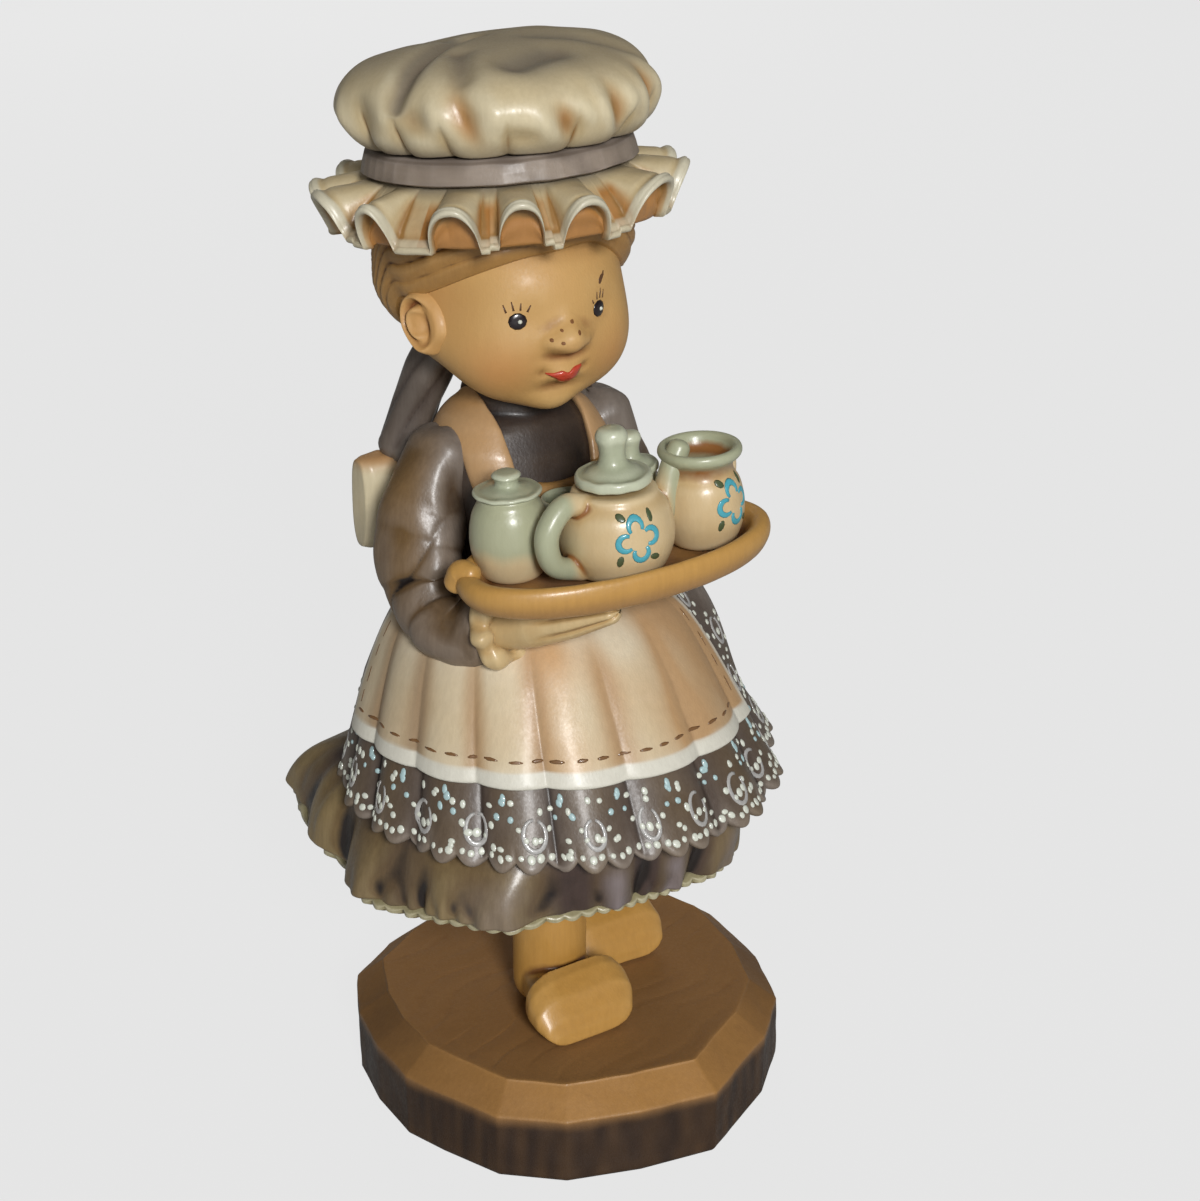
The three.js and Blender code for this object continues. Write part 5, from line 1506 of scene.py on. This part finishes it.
for side, hand in SIDES.items():
    ear = formed(f"{side}_ear", 110, 90, ear_rule(hand))
    hand_over(ear, skin_paint, "skin_paint", reach_mm=0.9, full_mm=0.4)
    store(ear, "wash_and_painted_light", 0.25)

# %% [markdown]
# ## Hair and pigtails
# Hair shows as a shell of swept strands between cap and face, low at the nape and over the
# ears. The strands are grooves that run along the hairline. Two plum-coloured pigtails hang
# behind.

# %% Hair and pigtails
PIGTAIL = [(7.6, 4.8, -6), (8.8, 8, -12.5), (9.8, 10, -17.5), (11, 11.2, -23)]


def hairline(degrees):
    away = np.abs(degrees)
    front = mix(31.5, 6, ease(away, 15, 90))
    wavy = 1.6 * np.sin(np.radians(4.5 * degrees + 20)) * (1 - ease(away, 70, 95))
    return mix(front, -42, ease(away, 88, 128)) + wavy


def hair_rule(u, v):
    degrees = 360 * u - 180
    down, inward, bulge = round_the_hem(v, 0.55, 0.1)
    line = hairline(degrees)
    up = mix(58, line, down)
    d = aim(degrees, up)
    full = 0.9 * both(d, 90, 14, 34) + 1.3 * ease(d[:, 2], 0.15, 0.5)
    sweep = 0.28 * (up - line) / 1.9 + 0.3 * np.sin(np.radians(2.2 * degrees)) + 0.012 * degrees
    strand = np.abs(np.sin(np.pi * sweep)) ** 0.5 - 0.8
    fine = np.abs(np.sin(np.pi * 2.6 * sweep + 1)) ** 0.6 - 0.6
    thick = (1.9 + full + 0.65 * strand + 0.1 * fine) * (1 - 0.8 * np.clip(down, 0, 1) ** 5)
    radius = skull_distance(d) + mix(0.1 + thick, -1, inward)
    points = in_head(d * radius[:, None])
    points[:, 2] -= 0.15 * bulge
    return points


def braid_lines(angle, along):
    twist = np.abs(np.sin(2.5 * angle + 3.2 * along)) ** 0.6 - 0.6
    return 0.35 * twist + 0.25 * np.sin(7 * along)


hair = formed("swept_hair", 420, 110, hair_rule)
hand_over(hair, hair_paint, "hair_stain", "hair", reach_mm=0.9, full_mm=0.3)
for side, hand in SIDES.items():
    stations = in_head(np.array(PIGTAIL) * (hand, 1, 1))
    rule = limb_rule(stations, [2.6, 3.1, 3.4, 3.4], braid_lines, side=(0, 1, 0))
    tail = formed(f"{side}_plum_pigtail", 72, 90, rule)
    hand_over(tail, braid_paint, "plum_paint", f"{side}_pigtail", reach_mm=1.2, full_mm=0.3)

# %% [markdown]
# ## Cap ruffle
# The mob cap has three parts: a full crown gathered into a ribbon, and a ruffle below it that
# falls in deep round folds with a thick pale edge. They are built level round the ribbon's
# middle, and tilted back and aside together. The ruffle's grid runs out along the cloth, round
# its edge, back to a dark wall behind the arches, and in below.

# %% Cap ruffle
CAP_TILT = Matrix.Rotation(np.radians(-3.4), 4, "X") @ Matrix.Rotation(np.radians(-2.2), 4, "Y")
CAP_MATRIX = FACE_TURN @ np.array(Matrix.Translation((-0.5, 1.5, 18.7)) @ CAP_TILT)
BAND_R, CROWN_R, CROWN_H, RUFFLE_R = 18.1, 20.9, 12.8, 25.1
WALL_R, WALL_LEVEL = RUFFLE_R - 4.2, -8.6
RUFFLE_FOLDS = 14


def ruffle_arch(angle, degrees):
    """Each fold's number, and the height of its round arch: 1 in the middle, 0 between folds."""
    phase = RUFFLE_FOLDS * angle + 0.35 * np.sin(3 * angle) + 2.09
    phase += 1.3 * near_direction(degrees, 2, 20) - 0.6 * near_direction(degrees, -45, 13)
    narrow = 0.7 * np.pi * (1 - 0.4 * near_direction(degrees, -68, 13))
    away = np.abs((phase + np.pi) % TURN - np.pi) / narrow
    return np.floor((phase + np.pi) / TURN), np.sqrt(1 - np.clip(away, 0, 1) ** 2.2)


def ruffle_rule(u, v):
    angle = TURN * u
    fold, arch = ruffle_arch(angle, (np.degrees(angle) + 270) % 360 - 180)
    edge = RUFFLE_R + 0.4 * np.cos(angle - np.radians(146)) - 2.4 * (1 - arch)
    drop = -0.9 - 5.3 * (1 - arch) - 0.3 * np.sin(2.4 * fold)
    t, round_it = part(v, 0.06, 0.56), part(v, 0.56, 0.76)
    back, wall, under = part(v, 0.76, 0.81), part(v, 0.81, 0.92), part(v, 0.92, 1)
    turn = np.pi * round_it
    radius = mix(BAND_R - 2, edge - 0.35, t) + 0.55 * np.sin(turn) - 0.25 * round_it
    level = -1.8 + drop * t ** 1.35 - 0.5 * (1 - np.cos(turn))
    level += 0.22 * (hill(t, 0.97, 0.05) - 0.8 * hill(t, 0.84, 0.05)) * (round_it < 0.01)
    curls = 0.5 * np.abs(np.sin(21 * angle)) + 0.3 * np.sin(9 * wall + 5 * angle)
    deep = np.minimum(edge - 1.7, RUFFLE_R - 3.0) + curls * np.sin(np.pi * wall)
    radius = np.where(wall > 0, mix(deep, WALL_R, wall), mix(radius, deep, back))
    radius = radius * (1 - under) * part(v, 0, 0.03)
    points = stacked(radius * np.cos(angle), radius * np.sin(angle), mix(level, WALL_LEVEL, wall))
    points += (0.09 * ripple(points, 4, 101) * ease(v, 0.02, 0.1) * (1 - under))[:, None]
    strength = 0.62 + 0.4 * np.sin(2.1 * fold + 1) + 0.35 * ripple(points, 5, 104)
    ochre = (1 - ease(arch, 0.15, 0.6)) * np.clip(strength, 0, 1) * ease(t, 0.28, 0.5)
    ochre = np.maximum(ochre * (1 - ease(round_it, 0, 0.2)), 0.95 * back)
    pale = ease(t, 0.87, 0.93) * mix(0.55, 0.95, ease(arch, 0.05, 0.3)) * (1 - ease(back, 0, 0.3))
    # painted shade on the cloth near the band, under the crown's edge
    return points, {"wash_and_painted_light": ochre, "trim": pale,
                    "painted_shade_and_sheen": 0.75 * (1 - ease(t, 0.05, 0.4)) * (v < 0.5)}


ruffle = formed("cap_ruffle_folds", 980, 98, ruffle_rule)
move_points(ruffle, CAP_MATRIX)
hand_over(ruffle, cream_paint, "cream_paint", "cap_ruffle", reach_mm=0.9, full_mm=0.4)

# %% [markdown]
# ## Cap band
# The ribbon is a low drum with soft edges. Its upper and lower edges, where crown and ruffle meet
# it, get a painted shade, so the shade value follows the height.

# %% Cap band
BAND_PATH = [[0, -1.6], [0.97, -1.6], [1.008, -1.3], [0.992, 0.0], [0.972, 1.1], [0.93, 1.7],
             [0, 1.7]]


def band_rule(u, v):
    angle = TURN * u
    out, level = along_path(BAND_PATH, v)
    pinch = 0.05 * np.abs(np.sin(19 * angle + 2 * np.sin(4 * angle))) * ease(out, 0.5, 1)
    radius = BAND_R * out - pinch
    points = stacked(radius * np.cos(angle), radius * np.sin(angle), level)
    points += 0.08 * ripple(points, 5, 102)[:, None]
    # painted shade at the upper and lower edges, where crown and ruffle meet the band, and a
    # random mottle
    tone_and_painted_light = 0.55 * ease(level, 0.3, 1.5) + 0.4 * ease(-level, 0.7, 1.5)
    tone_and_painted_light += 0.4 * ripple(points * (1, 1, 3), 7, 103)
    return points, {"painted_shade_and_sheen": np.clip(tone_and_painted_light, 0, 0.8)}


band = formed("cap_ribbon_band", 360, 48, band_rule)
move_points(band, CAP_MATRIX)
hand_over(band, band_paint, "band_paint", "cap_band", reach_mm=0.9, full_mm=0.14)

# %% [markdown]
# ## Dents and creases
# The crown is a soft puff. The carver cut dents round its side, with ochre left in them, and
# drew long creases over its top, which get a grey painted shade. Both are lists, so that each
# can be moved on its own.

# %% Dents and creases
DENTS = [  # direction, height, width in degrees, height of the dent, depth and stain
    (-61, 0.38, 6, 0.14, 0.6, 0.3), (-41, 0.42, 5, 0.27, 1.2, 1.0), (-20, 0.2, 5, 0.1, 0.6, 0),
    (-5, 0.33, 4, 0.18, 1.0, 1.0), (18, 0.38, 3.6, 0.24, 1.2, 1.0), (43, 0.44, 5, 0.26, 1.1, 1.0),
    (-88, 0.4, 6, 0.2, 0.7, 0), (-112, 0.36, 5, 0.18, 1.0, 0.4), (68, 0.36, 5, 0.18, 1.0, 0.6),
    (95, 0.38, 5, 0.18, 1.0, 0.6), (122, 0.36, 5, 0.18, 1.0, 0.6), (150, 0.38, 5, 0.18, 1.0, 0.6),
    (176, 0.36, 5, 0.18, 1.0, 0.6), (-140, 0.38, 5, 0.18, 1.0, 0.6)]
CREASES = [  # line of points on the level plane, width and depth in mm
    ([(-21, -8), (-16.6, -6.5), (-9.7, -1.6), (-1.7, 3.9)], 1.7, 1.7),
    ([(-4.7, -13.6), (1.6, -11.3)], 2.6, 1.1), ([(-12, -13), (-9, -7)], 1.8, 0.8),
    ([(4, -2), (13, -9)], 2.2, 0.7), ([(6, 14), (12, 4)], 2.4, 1.0),
    ([(-10, 14), (-5, 7)], 2.2, 0.9)]


def near_line(points, line):
    nearest = np.full(len(points), 99.0)
    for (ax, ay), (bx, by) in zip(line, line[1:]):
        ex, ey = bx - ax, by - ay
        x, y = points[:, 0] - ax, points[:, 1] - ay
        share = np.clip((x * ex + y * ey) / (ex * ex + ey * ey), 0, 1)
        nearest = np.minimum(nearest, np.hypot(x - share * ex, y - share * ey))
    return nearest


def dented(degrees, up):
    """How deep the dents cut at each point, with raised lips beside them, and their stain."""
    cut, stain = 0 * degrees, 0 * degrees
    for middle, height, wide, tall, depth, colour in DENTS:
        away = (degrees - middle + 10 * (up - height) + 180) % 360 - 180
        across, along = hill(away, 0, wide), hill(up, height, tall)
        lips = 0.35 * hill(np.abs(away), 2.2 * wide, 0.8 * wide)
        cut = cut + depth * (across - lips) * along
        painted = hill(away, 0, 0.8 * wide) * hill(up, height, 0.8 * tall)
        stain = np.maximum(stain, colour * painted)
    return cut, stain


print(len(DENTS), "dents and", len(CREASES), "creases")

# %% [markdown]
# ## Cap crown
# The puff is a profile carried round, from the middle below to the middle above. It is gathered
# where it enters the ribbon and billows a little above. Then the dents and creases are cut.

# %% Cap crown
CROWN_PROFILE = np.array([
    [0, 0], [0.6, 0], [0.82, 0.01], [0.9, 0.06], [0.965, 0.18], [1, 0.38], [0.965, 0.6],
    [0.83, 0.8], [0.58, 0.93], [0.3, 0.985], [0, 1.0]])
CROWN_DRAWN = (20, 13)


def crown_rule(u, v):
    degrees = 360 * u - 180
    angle = np.radians(degrees - 90)
    line, share = curve_through(CROWN_PROFILE * CROWN_DRAWN, 16)
    out, up = read_off(line / CROWN_DRAWN, share, v).T
    gather = np.abs(np.sin(8 * angle + 0.7 * np.sin(2 * angle))) ** 0.55 - 1
    gather = gather * (1 - ease(up, 0.1, 0.5)) * ease(v, 0.1, 0.2)
    billow = (0.5 * np.sin(3 * angle + 0.6) + 0.3 * np.sin(5 * angle)) * ease(up, 0, 0.4) * out
    cut, stain = dented(degrees, up)
    radius = CROWN_R * out + 2.0 * gather + billow - cut * ease(out, 0.3, 0.8)
    level = 1.8 + CROWN_H * up + 0.8 * np.sin(2 * angle + 1) * out * up
    points = stacked(radius * np.cos(angle), radius * np.sin(angle), level)
    crease = sum(depth * hill(near_line(points, line), 0, wide) for line, wide, depth in CREASES)
    crease = crease * ease(up, 0.35, 0.6)
    points[:, 2] -= crease
    ochre = stain * (0.85 + 0.3 * ripple(points, 5, 112))
    # painted shade: low down where the crown tucks into the band, most at the sides away from the
    # light
    low = 0.75 * (1 - ease(up, 0.02, 0.26)) * (0.5 + 0.5 * ease(np.abs(degrees + 20), 20, 60))
    # painted shade: grey over the top, which the light reaches less, and in the creases
    grey = 0.42 * ease(up, 0.6, 0.98) + 0.45 * crease + low + 0.15 * ripple(points, 8, 113)
    points += (0.12 * ripple(points, 6, 111) * ease(v, 0.05, 0.15))[:, None]
    return points + (0.5, -0.35, 0), {"wash_and_painted_light": np.clip(ochre, 0, 0.9),
                                      "painted_shade_and_sheen": np.clip(grey, 0, 0.8)}


crown = formed("cap_crown_puff", 480, 150, crown_rule)
move_points(crown, CAP_MATRIX)
hand_over(crown, cream_paint, "cream_paint", "cap_crown", reach_mm=2.0, full_mm=0.6)

# %% [markdown]
# ## Painted details
# Dots, stitches, lashes and petals are brush marks: each is a low bead of paint that lies on
# the surface below it. They could be drawn in the finish, but beads keep their soft raised edge
# in close views. A mark is given in millimetres round an anchor, and each of its points is set
# on the surface, so that it follows the folds.

# %% Laying marks on a surface
NUDGE = 0.05


def lay(surface, x, y, lift):
    """Points at x to the right and y up from the surface's anchor, raised along its normal."""
    here = surface(x, y)
    normal = unit(np.cross(surface(x + NUDGE, y) - here, surface(x, y + NUDGE) - here))
    return here + normal * np.asarray(lift)[..., None]


def ringed_faces(count, rings):
    """Quads between rings of points, and a face over each end."""
    last = count * (rings - 1)
    quads = [[k + j, k + (j + 1) % count, k + count + (j + 1) % count, k + count + j]
             for k in range(0, last, count) for j in range(count)]
    return quads + [list(range(count))[::-1], list(range(last, last + count))]


print("A mark of 3 rings of 10 has", len(ringed_faces(10, 3)), "faces")

# %% [markdown]
# ## Dots, strokes and dabs
# A dot is three rings of points that rise to its middle. A stroke is a flat ridge along a
# path, wide where the brush was pressed. A dab fills an outline. Their edges dip just below the
# surface, so that no gap shows.

# %% Dots, strokes and dabs
DOT_SIDES = 10


def dot_mark(surface, x, y, wide, tall=None, turn=0.0, height=0.16):
    angles = np.tile(np.linspace(0, TURN, DOT_SIDES + 1)[:-1], 3)
    reach = np.repeat([1, 0.78, 0.4], DOT_SIDES)
    lift = np.repeat([-0.25 * height, 0.6 * height, height], DOT_SIDES)
    px = reach * np.cos(angles) * wide / 2
    py = reach * np.sin(angles) * (tall or wide) / 2
    cosine, sine = np.cos(turn), np.sin(turn)
    points = lay(surface, x + px * cosine - py * sine, y + px * sine + py * cosine, lift)
    return points, ringed_faces(DOT_SIDES, 3)


def stroke_mark(surface, path, widths, height=0.12):
    path = np.array(path, float)
    count = len(path)
    widths = np.interp(np.linspace(0, 1, count), np.linspace(0, 1, len(widths)), widths)
    across = unit(np.gradient(path, axis=0))[:, ::-1] * (1, -1)
    rows = []
    for off, lift in ((-0.5, -0.3), (-0.28, 0.8), (0.28, 0.8), (0.5, -0.3)):
        x, y = (path + across * (off * widths)[:, None]).T
        rows.append(lay(surface, x, y, np.full(count, lift * height)))
    return np.stack(rows, 1).reshape(-1, 3), ringed_faces(len(rows), count)


def shape_mark(surface, outline, height):
    """A flat dab of paint with a soft edge: rings of the outline, drawn in to its middle."""
    line, _ = curve_through(outline + outline[:1], 8)
    line = line[:-1]
    middle, count = line.mean(0), len(line)
    rows = []
    for reach, lift in ((1, -0.3), (0.88, 0.7), (0.55, 1), (0.12, 1)):
        x, y = (middle + (line - middle) * reach).T
        rows.append(lay(surface, x, y, np.full(count, lift * height)))
    return np.vstack(rows), ringed_faces(count, len(rows))


print("A dot has", DOT_SIDES, "sides")

# %% [markdown]
# ## One mesh for each paint
# There are more than a thousand marks, and an object for each would be slow to handle. So all
# the marks of one paint are put into one mesh.

# %% One mesh for each paint
def paint_marks(name, marks, material, slot):
    points, faces, start = [], [], 0
    for mark_points, mark_faces in marks:
        points.append(mark_points)
        faces += [[start + i for i in face] for face in mark_faces]
        start += len(mark_points)
    mesh = bpy.data.meshes.new(name)
    mesh.from_pydata(np.vstack(points) * MM, [], faces)
    piece = bpy.data.objects.new(name, mesh)
    bpy.context.collection.objects.link(piece)
    bpy.ops.object.select_all(action="DESELECT")
    piece.select_set(True)
    close_up(piece, 0.0001)
    hand_over(piece, material, slot, reach_mm=0)


def arc(wide, tall, start, end, steps):
    angles = np.radians(np.linspace(start, end, steps))
    return np.stack([wide / 2 * np.cos(angles), tall / 2 * np.sin(angles)], 1)


print("An arc in 4 steps:", arc(2, 2, 0, 90, 4).round(2).tolist())

# %% [markdown]
# ## Dots on the scallops
# The lace is only painted, and three dots follow each scallop. A steady hand still varies, so
# sizes and places are jittered with a seeded generator.

# %% Dots on the scallops
rng = np.random.default_rng(7)
SKIRT_REACH = 29
white, blue, rings = [], [], []


def lace_face(degrees, z):
    return on_tier(degrees, z, lace_edge(degrees, z)[1])


def tier_patch(face, degrees, z):
    def surface(x, y):
        return face(degrees + np.degrees(np.asarray(x) / SKIRT_REACH), z + 0.93 * np.asarray(y))

    return surface


def dot(patch, x, y, low, high):
    return dot_mark(patch, x, y, rng.uniform(low, high), rng.uniform(low, high))


for k in range(SCALLOPS):
    patch = tier_patch(lace_face, 360 / SCALLOPS * k, LACE_HEM + 0.5)
    for off in (-1.25, 0.0, 1.2):
        x, y = off + rng.normal(0, 0.14), 0.95 + 0.2 * abs(off) + rng.normal(0, 0.12)
        size = rng.uniform(0.85, 1.25)
        tall = size * rng.uniform(0.75, 1.2)
        white.append(dot_mark(patch, x, y, size, tall, rng.uniform(0, 3)))
print(len(white), "dots on the scallops")

# %% [markdown]
# ## Swags and rings
# Chains of small dots hang in swags that rise to the apron's hem, pale blue where they meet it.
# An open ring, one turn of the brush, hangs in each swag with a dot in it.

# %% Swags and rings
SWAGS = 21
HALF_SWAG = 4.35

for k in range(SWAGS):
    patch = tier_patch(lace_face, 360 / SWAGS * k - 6, LACE_HEM)
    wide, tall = rng.uniform(2.7, 3.3), rng.uniform(3.7, 4.3)
    start = rng.uniform(60, 120)
    ring = arc(wide, tall, start, start + rng.uniform(300, 350), 18) + (0, 4.6)
    rings.append(stroke_mark(patch, ring, [0.5, 0.78, 0.85, 0.72, 0.5]))
    x, y = rng.normal(0, 0.12), 4.1 + rng.normal(0, 0.15)
    white.append(dot_mark(patch, x, y, rng.uniform(1.05, 1.4), rng.uniform(1.2, 1.5)))
    for share in np.linspace(-1, 1, 9):
        x = HALF_SWAG * share + rng.normal(0, 0.18)
        y = 3.4 + 5.2 * np.abs(share) ** 1.5 + rng.normal(0, 0.2)
        if abs(share) < 0.2:
            continue
        size = rng.uniform(0.75, 1.15)
        tall = size * rng.uniform(0.8, 1.35)
        paint = blue if abs(share) > 0.6 else white
        paint.append(dot_mark(patch, x, y, size, tall, rng.uniform(0, 3)))
    for _ in range(3):
        x, y = rng.uniform(-3.6, 3.6), rng.uniform(7.4, 9.2)
        white.append(dot(patch, x, y, 0.8, 1.3))
    blue.append(dot_mark(patch, HALF_SWAG + rng.normal(0, 0.2), 9.2, 1.0, 1.5))
    for _ in range(2):
        x, y = HALF_SWAG * rng.uniform(0.55, 1.35), rng.uniform(2.2, 4.4)
        white.append(dot(patch, x, y, 0.8, 1.2))
print(len(white), "white dots,", len(blue), "blue dots,", len(rings), "rings")

# %% [markdown]
# ## Rings beside the apron
# Where the lace shows beside the apron, larger rings stand one over the other, each in a wreath
# of dots. After them all three paints are laid on.

# %% Rings beside the apron
SIDE_RINGS = [(60, 69), (68, 63.5), (76, 57), (74, 70.5), (82, 63), (-117, 64), (-120, 58.5)]

for middle, level in SIDE_RINGS:
    patch = tier_patch(lace_face, middle, level)
    rings.append(stroke_mark(patch, arc(2.8, 4, 80, 410, 18), [0.5, 0.8, 0.85, 0.7, 0.5]))
    white.append(dot_mark(patch, 0, -0.3, 1.2, 1.3))
    for turn in range(0, 360, 45):
        way = np.radians(turn + rng.normal(0, 8))
        white.append(dot(patch, 2.6 * np.cos(way), 3.3 * np.sin(way), 0.7, 1.1))
print(len(white), "white dots,", len(blue), "blue dots,", len(rings), "rings")
paint_marks("lace_white_dots", white, dot_white, "cream_paint")
paint_marks("lace_blue_dots", blue, dot_blue, "pale_green_paint")
paint_marks("lace_rings", rings, ring_grey, "band_paint")

# %% [markdown]
# ## Apron stitches
# A row of short brown strokes runs inside the white border, along the hem and up both sides.
# Each stitch has its own length and gap, as a hand would leave them.

# %% Apron stitches
STITCH_HEIGHT = 0.05
APRON_REACH = 27
stitches = []


def apron_face(degrees, z):
    return on_tier(degrees, z, APRON_LIFT)


at = APRON_EDGES[0] + 7.0
while at < APRON_EDGES[1] - 7:
    long = rng.uniform(1.5, 2.4)
    patch = tier_patch(apron_face, at, APRON_HEM + 3.1 + rng.normal(0, 0.1))
    rise = rng.normal(0, 0.08)
    path = [(-long / 2, -rise), (-long / 4, 0), (0, 0.03), (long / 4, 0), (long / 2, rise)]
    stitches.append(stroke_mark(patch, path, [0.24, 0.5, 0.56, 0.46, 0.2], STITCH_HEIGHT))
    at += np.degrees((long + rng.uniform(0.9, 1.5)) / APRON_REACH)
for edge, inward in ((APRON_EDGES[0], 1), (APRON_EDGES[1], -1)):
    z = APRON_HEM + 4.8
    while z < WAIST - 4:
        long = rng.uniform(1.5, 2.2)
        at = edge + inward * np.degrees(2.7 / apron_radius(edge, z))
        path = [(0, -long / 2), (0.03, 0), (0, long / 2)]
        patch = tier_patch(apron_face, at, z)
        stitches.append(stroke_mark(patch, path, [0.2, 0.45, 0.2], STITCH_HEIGHT))
        z += long + rng.uniform(0.9, 1.4)
print(len(stitches), "stitches")
paint_marks("apron_stitches", stitches, stitch_brown, "plum_paint")

# %% [markdown]
# ## Face paint
# The face is painted last, with the finest brush: dark oval eyes with a point of light, four
# thin lashes over each, freckles on the nose, a fleck of brow, and a small red mouth.

# %% Face paint
FACE_REACH = 16.2
FINE = 0.03
EYES = [  # direction round and up, width, height, and lashes from x, y to x, y
    (-25.5, 0.5, 2.75, 2.45, [(-1.5, 1.15, -1.9, 2.2), (-0.5, 1.4, -0.8, 2.6),
                              (0.38, 1.4, 0.46, 2.4), (1.3, 1.2, 1.75, 2.1)]),
    (17.5, 1.5, 2.6, 2.5, [(-1.1, 0.9, -1.4, 1.4), (-0.4, 1.3, -0.45, 2.3),
                           (0.2, 1.4, 0.3, 2.7), (0.8, 1.3, 0.95, 2.4)])]
FRECKLES = [(-1, -0.5, 0.62), (-6.5, -3.5, 0.42), (0.5, -4.5, 0.6), (-11, -7.5, 0.5),
            (-7, -8, 0.5)]
BROW = [(-0.5, -0.7), (-0.3, -0.3), (0.1, 0.1), (0.5, 0.35), (0.8, 0.8)]
MOUTH = [(-2.65, -0.05), (-1.5, 0.3), (-0.6, 0.6), (0.3, 0.3), (1.1, 0.75), (1.8, 0.8),
         (2.65, 0.6), (1.95, -0.55), (1.2, -1.35), (0.3, -1.75), (-0.6, -1.25), (-1.4, -0.5)]


def face_patch(degrees, up):
    def surface(x, y):
        across = np.degrees(np.asarray(x) / FACE_REACH) / np.cos(np.radians(up))
        d = aim(degrees + across, up + np.degrees(np.asarray(y) / FACE_REACH))
        return in_head(d * skin_distance(d)[:, None])

    return surface


eyes, lights, lashes = [], [], []
for degrees, up, wide, tall, hairs in EYES:
    patch = face_patch(degrees, up)
    eyes.append(dot_mark(patch, 0, 0, wide, tall, 0, 0.2))
    lights.append(dot_mark(patch, 0.28, -0.05, 0.74, 0.74, 0, 0.4))
    for x0, y0, x1, y1 in hairs:
        path = [(x0, y0), ((x0 + x1) / 2, (y0 + y1) / 2), (x1, y1)]
        lashes.append(stroke_mark(patch, path, [0.34, 0.28, 0.18], FINE))
lashes.append(stroke_mark(face_patch(20, 15.5), BROW, [0.4, 0.75, 0.7, 0.45, 0.2], FINE))
freckles = [dot_mark(face_patch(degrees, up), 0, 0, size, size * 0.8, 0.5, FINE)
            for degrees, up, size in FRECKLES]
paint_marks("eyes", eyes, eye_brown, "plum_paint")
paint_marks("eye_lights", lights, dot_white, "cream_paint")
paint_marks("lashes_and_brow", lashes, lash_brown, "plum_paint")
paint_marks("freckles", freckles, freckle_brown, "plum_paint")
lips = shape_mark(face_patch(MIDDLE, -25.6), MOUTH, 0.3)
paint_marks("lips", [lips], lip_red, "band_paint")

# %% [markdown]
# ## Flowers on the pots
# The teapot and the jug carry the same simple flower: four turquoise petals, each a C of one
# brush stroke round a bare cross, and small olive leaves on the diagonals.

# %% Flowers on the pots
FLOWERS = [  # size of the belly, direction and height of the flower, place on the tray
    (TEAPOT_SIZE, -6, 6.9, TEAPOT_PLACE), (JUG_BELLY, 22, 6.8, JUG_PLACE)]
LEAVES = [(128, 3.7), (48, 3.6), (-50, 3.6), (-135, 3.7)]


def pot_patch(size, degrees, level, place):
    line, _ = curve_through((BELLY * size)[:7], 20)
    matrix = tray_place(*place)

    def surface(x, y):
        z = level + np.asarray(y)
        r = np.interp(z, line[:, 1], line[:, 0])
        dx, dy = outward(degrees + np.degrees(np.asarray(x) / size[0]))
        return stacked(r * dx, r * dy, z) @ matrix[:3, :3].T + matrix[:3, 3]

    return surface


petals, leaves = [], []
for size, degrees, level, place in FLOWERS:
    patch = pot_patch(size, degrees, level, place)
    for turn in (0, 90, 180, 270):
        way = np.radians(turn + 8)
        curl = arc(2.1, 2.0, -125, 125, 12) + (1.75, 0)
        spun = curl @ [[np.cos(way), np.sin(way)], [-np.sin(way), np.cos(way)]]
        petals.append(stroke_mark(patch, spun, [0.5, 0.85, 0.95, 0.85, 0.5], 0.08))
    for turn, reach in LEAVES:
        way = np.radians(turn)
        x, y = reach * np.cos(way), reach * np.sin(way)
        leaves.append(dot_mark(patch, x, y, 1.7, 0.95, way + 0.5, 0.06))
paint_marks("flower_petals", petals, petal_blue, "pale_green_paint")
paint_marks("flower_leaves", leaves, leaf_green, "pale_green_paint")

# %% [markdown]
# ## Carried-over pieces and the finish
# Only the two hidden dowels keep their CAD shape. They get bare limewood.

# %% Dowels and their finish
for side in SIDES:
    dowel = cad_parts[f"{side}_foot_dowel"]
    dowel.data.materials.clear()
    dowel.data.materials.append(bare_wood)
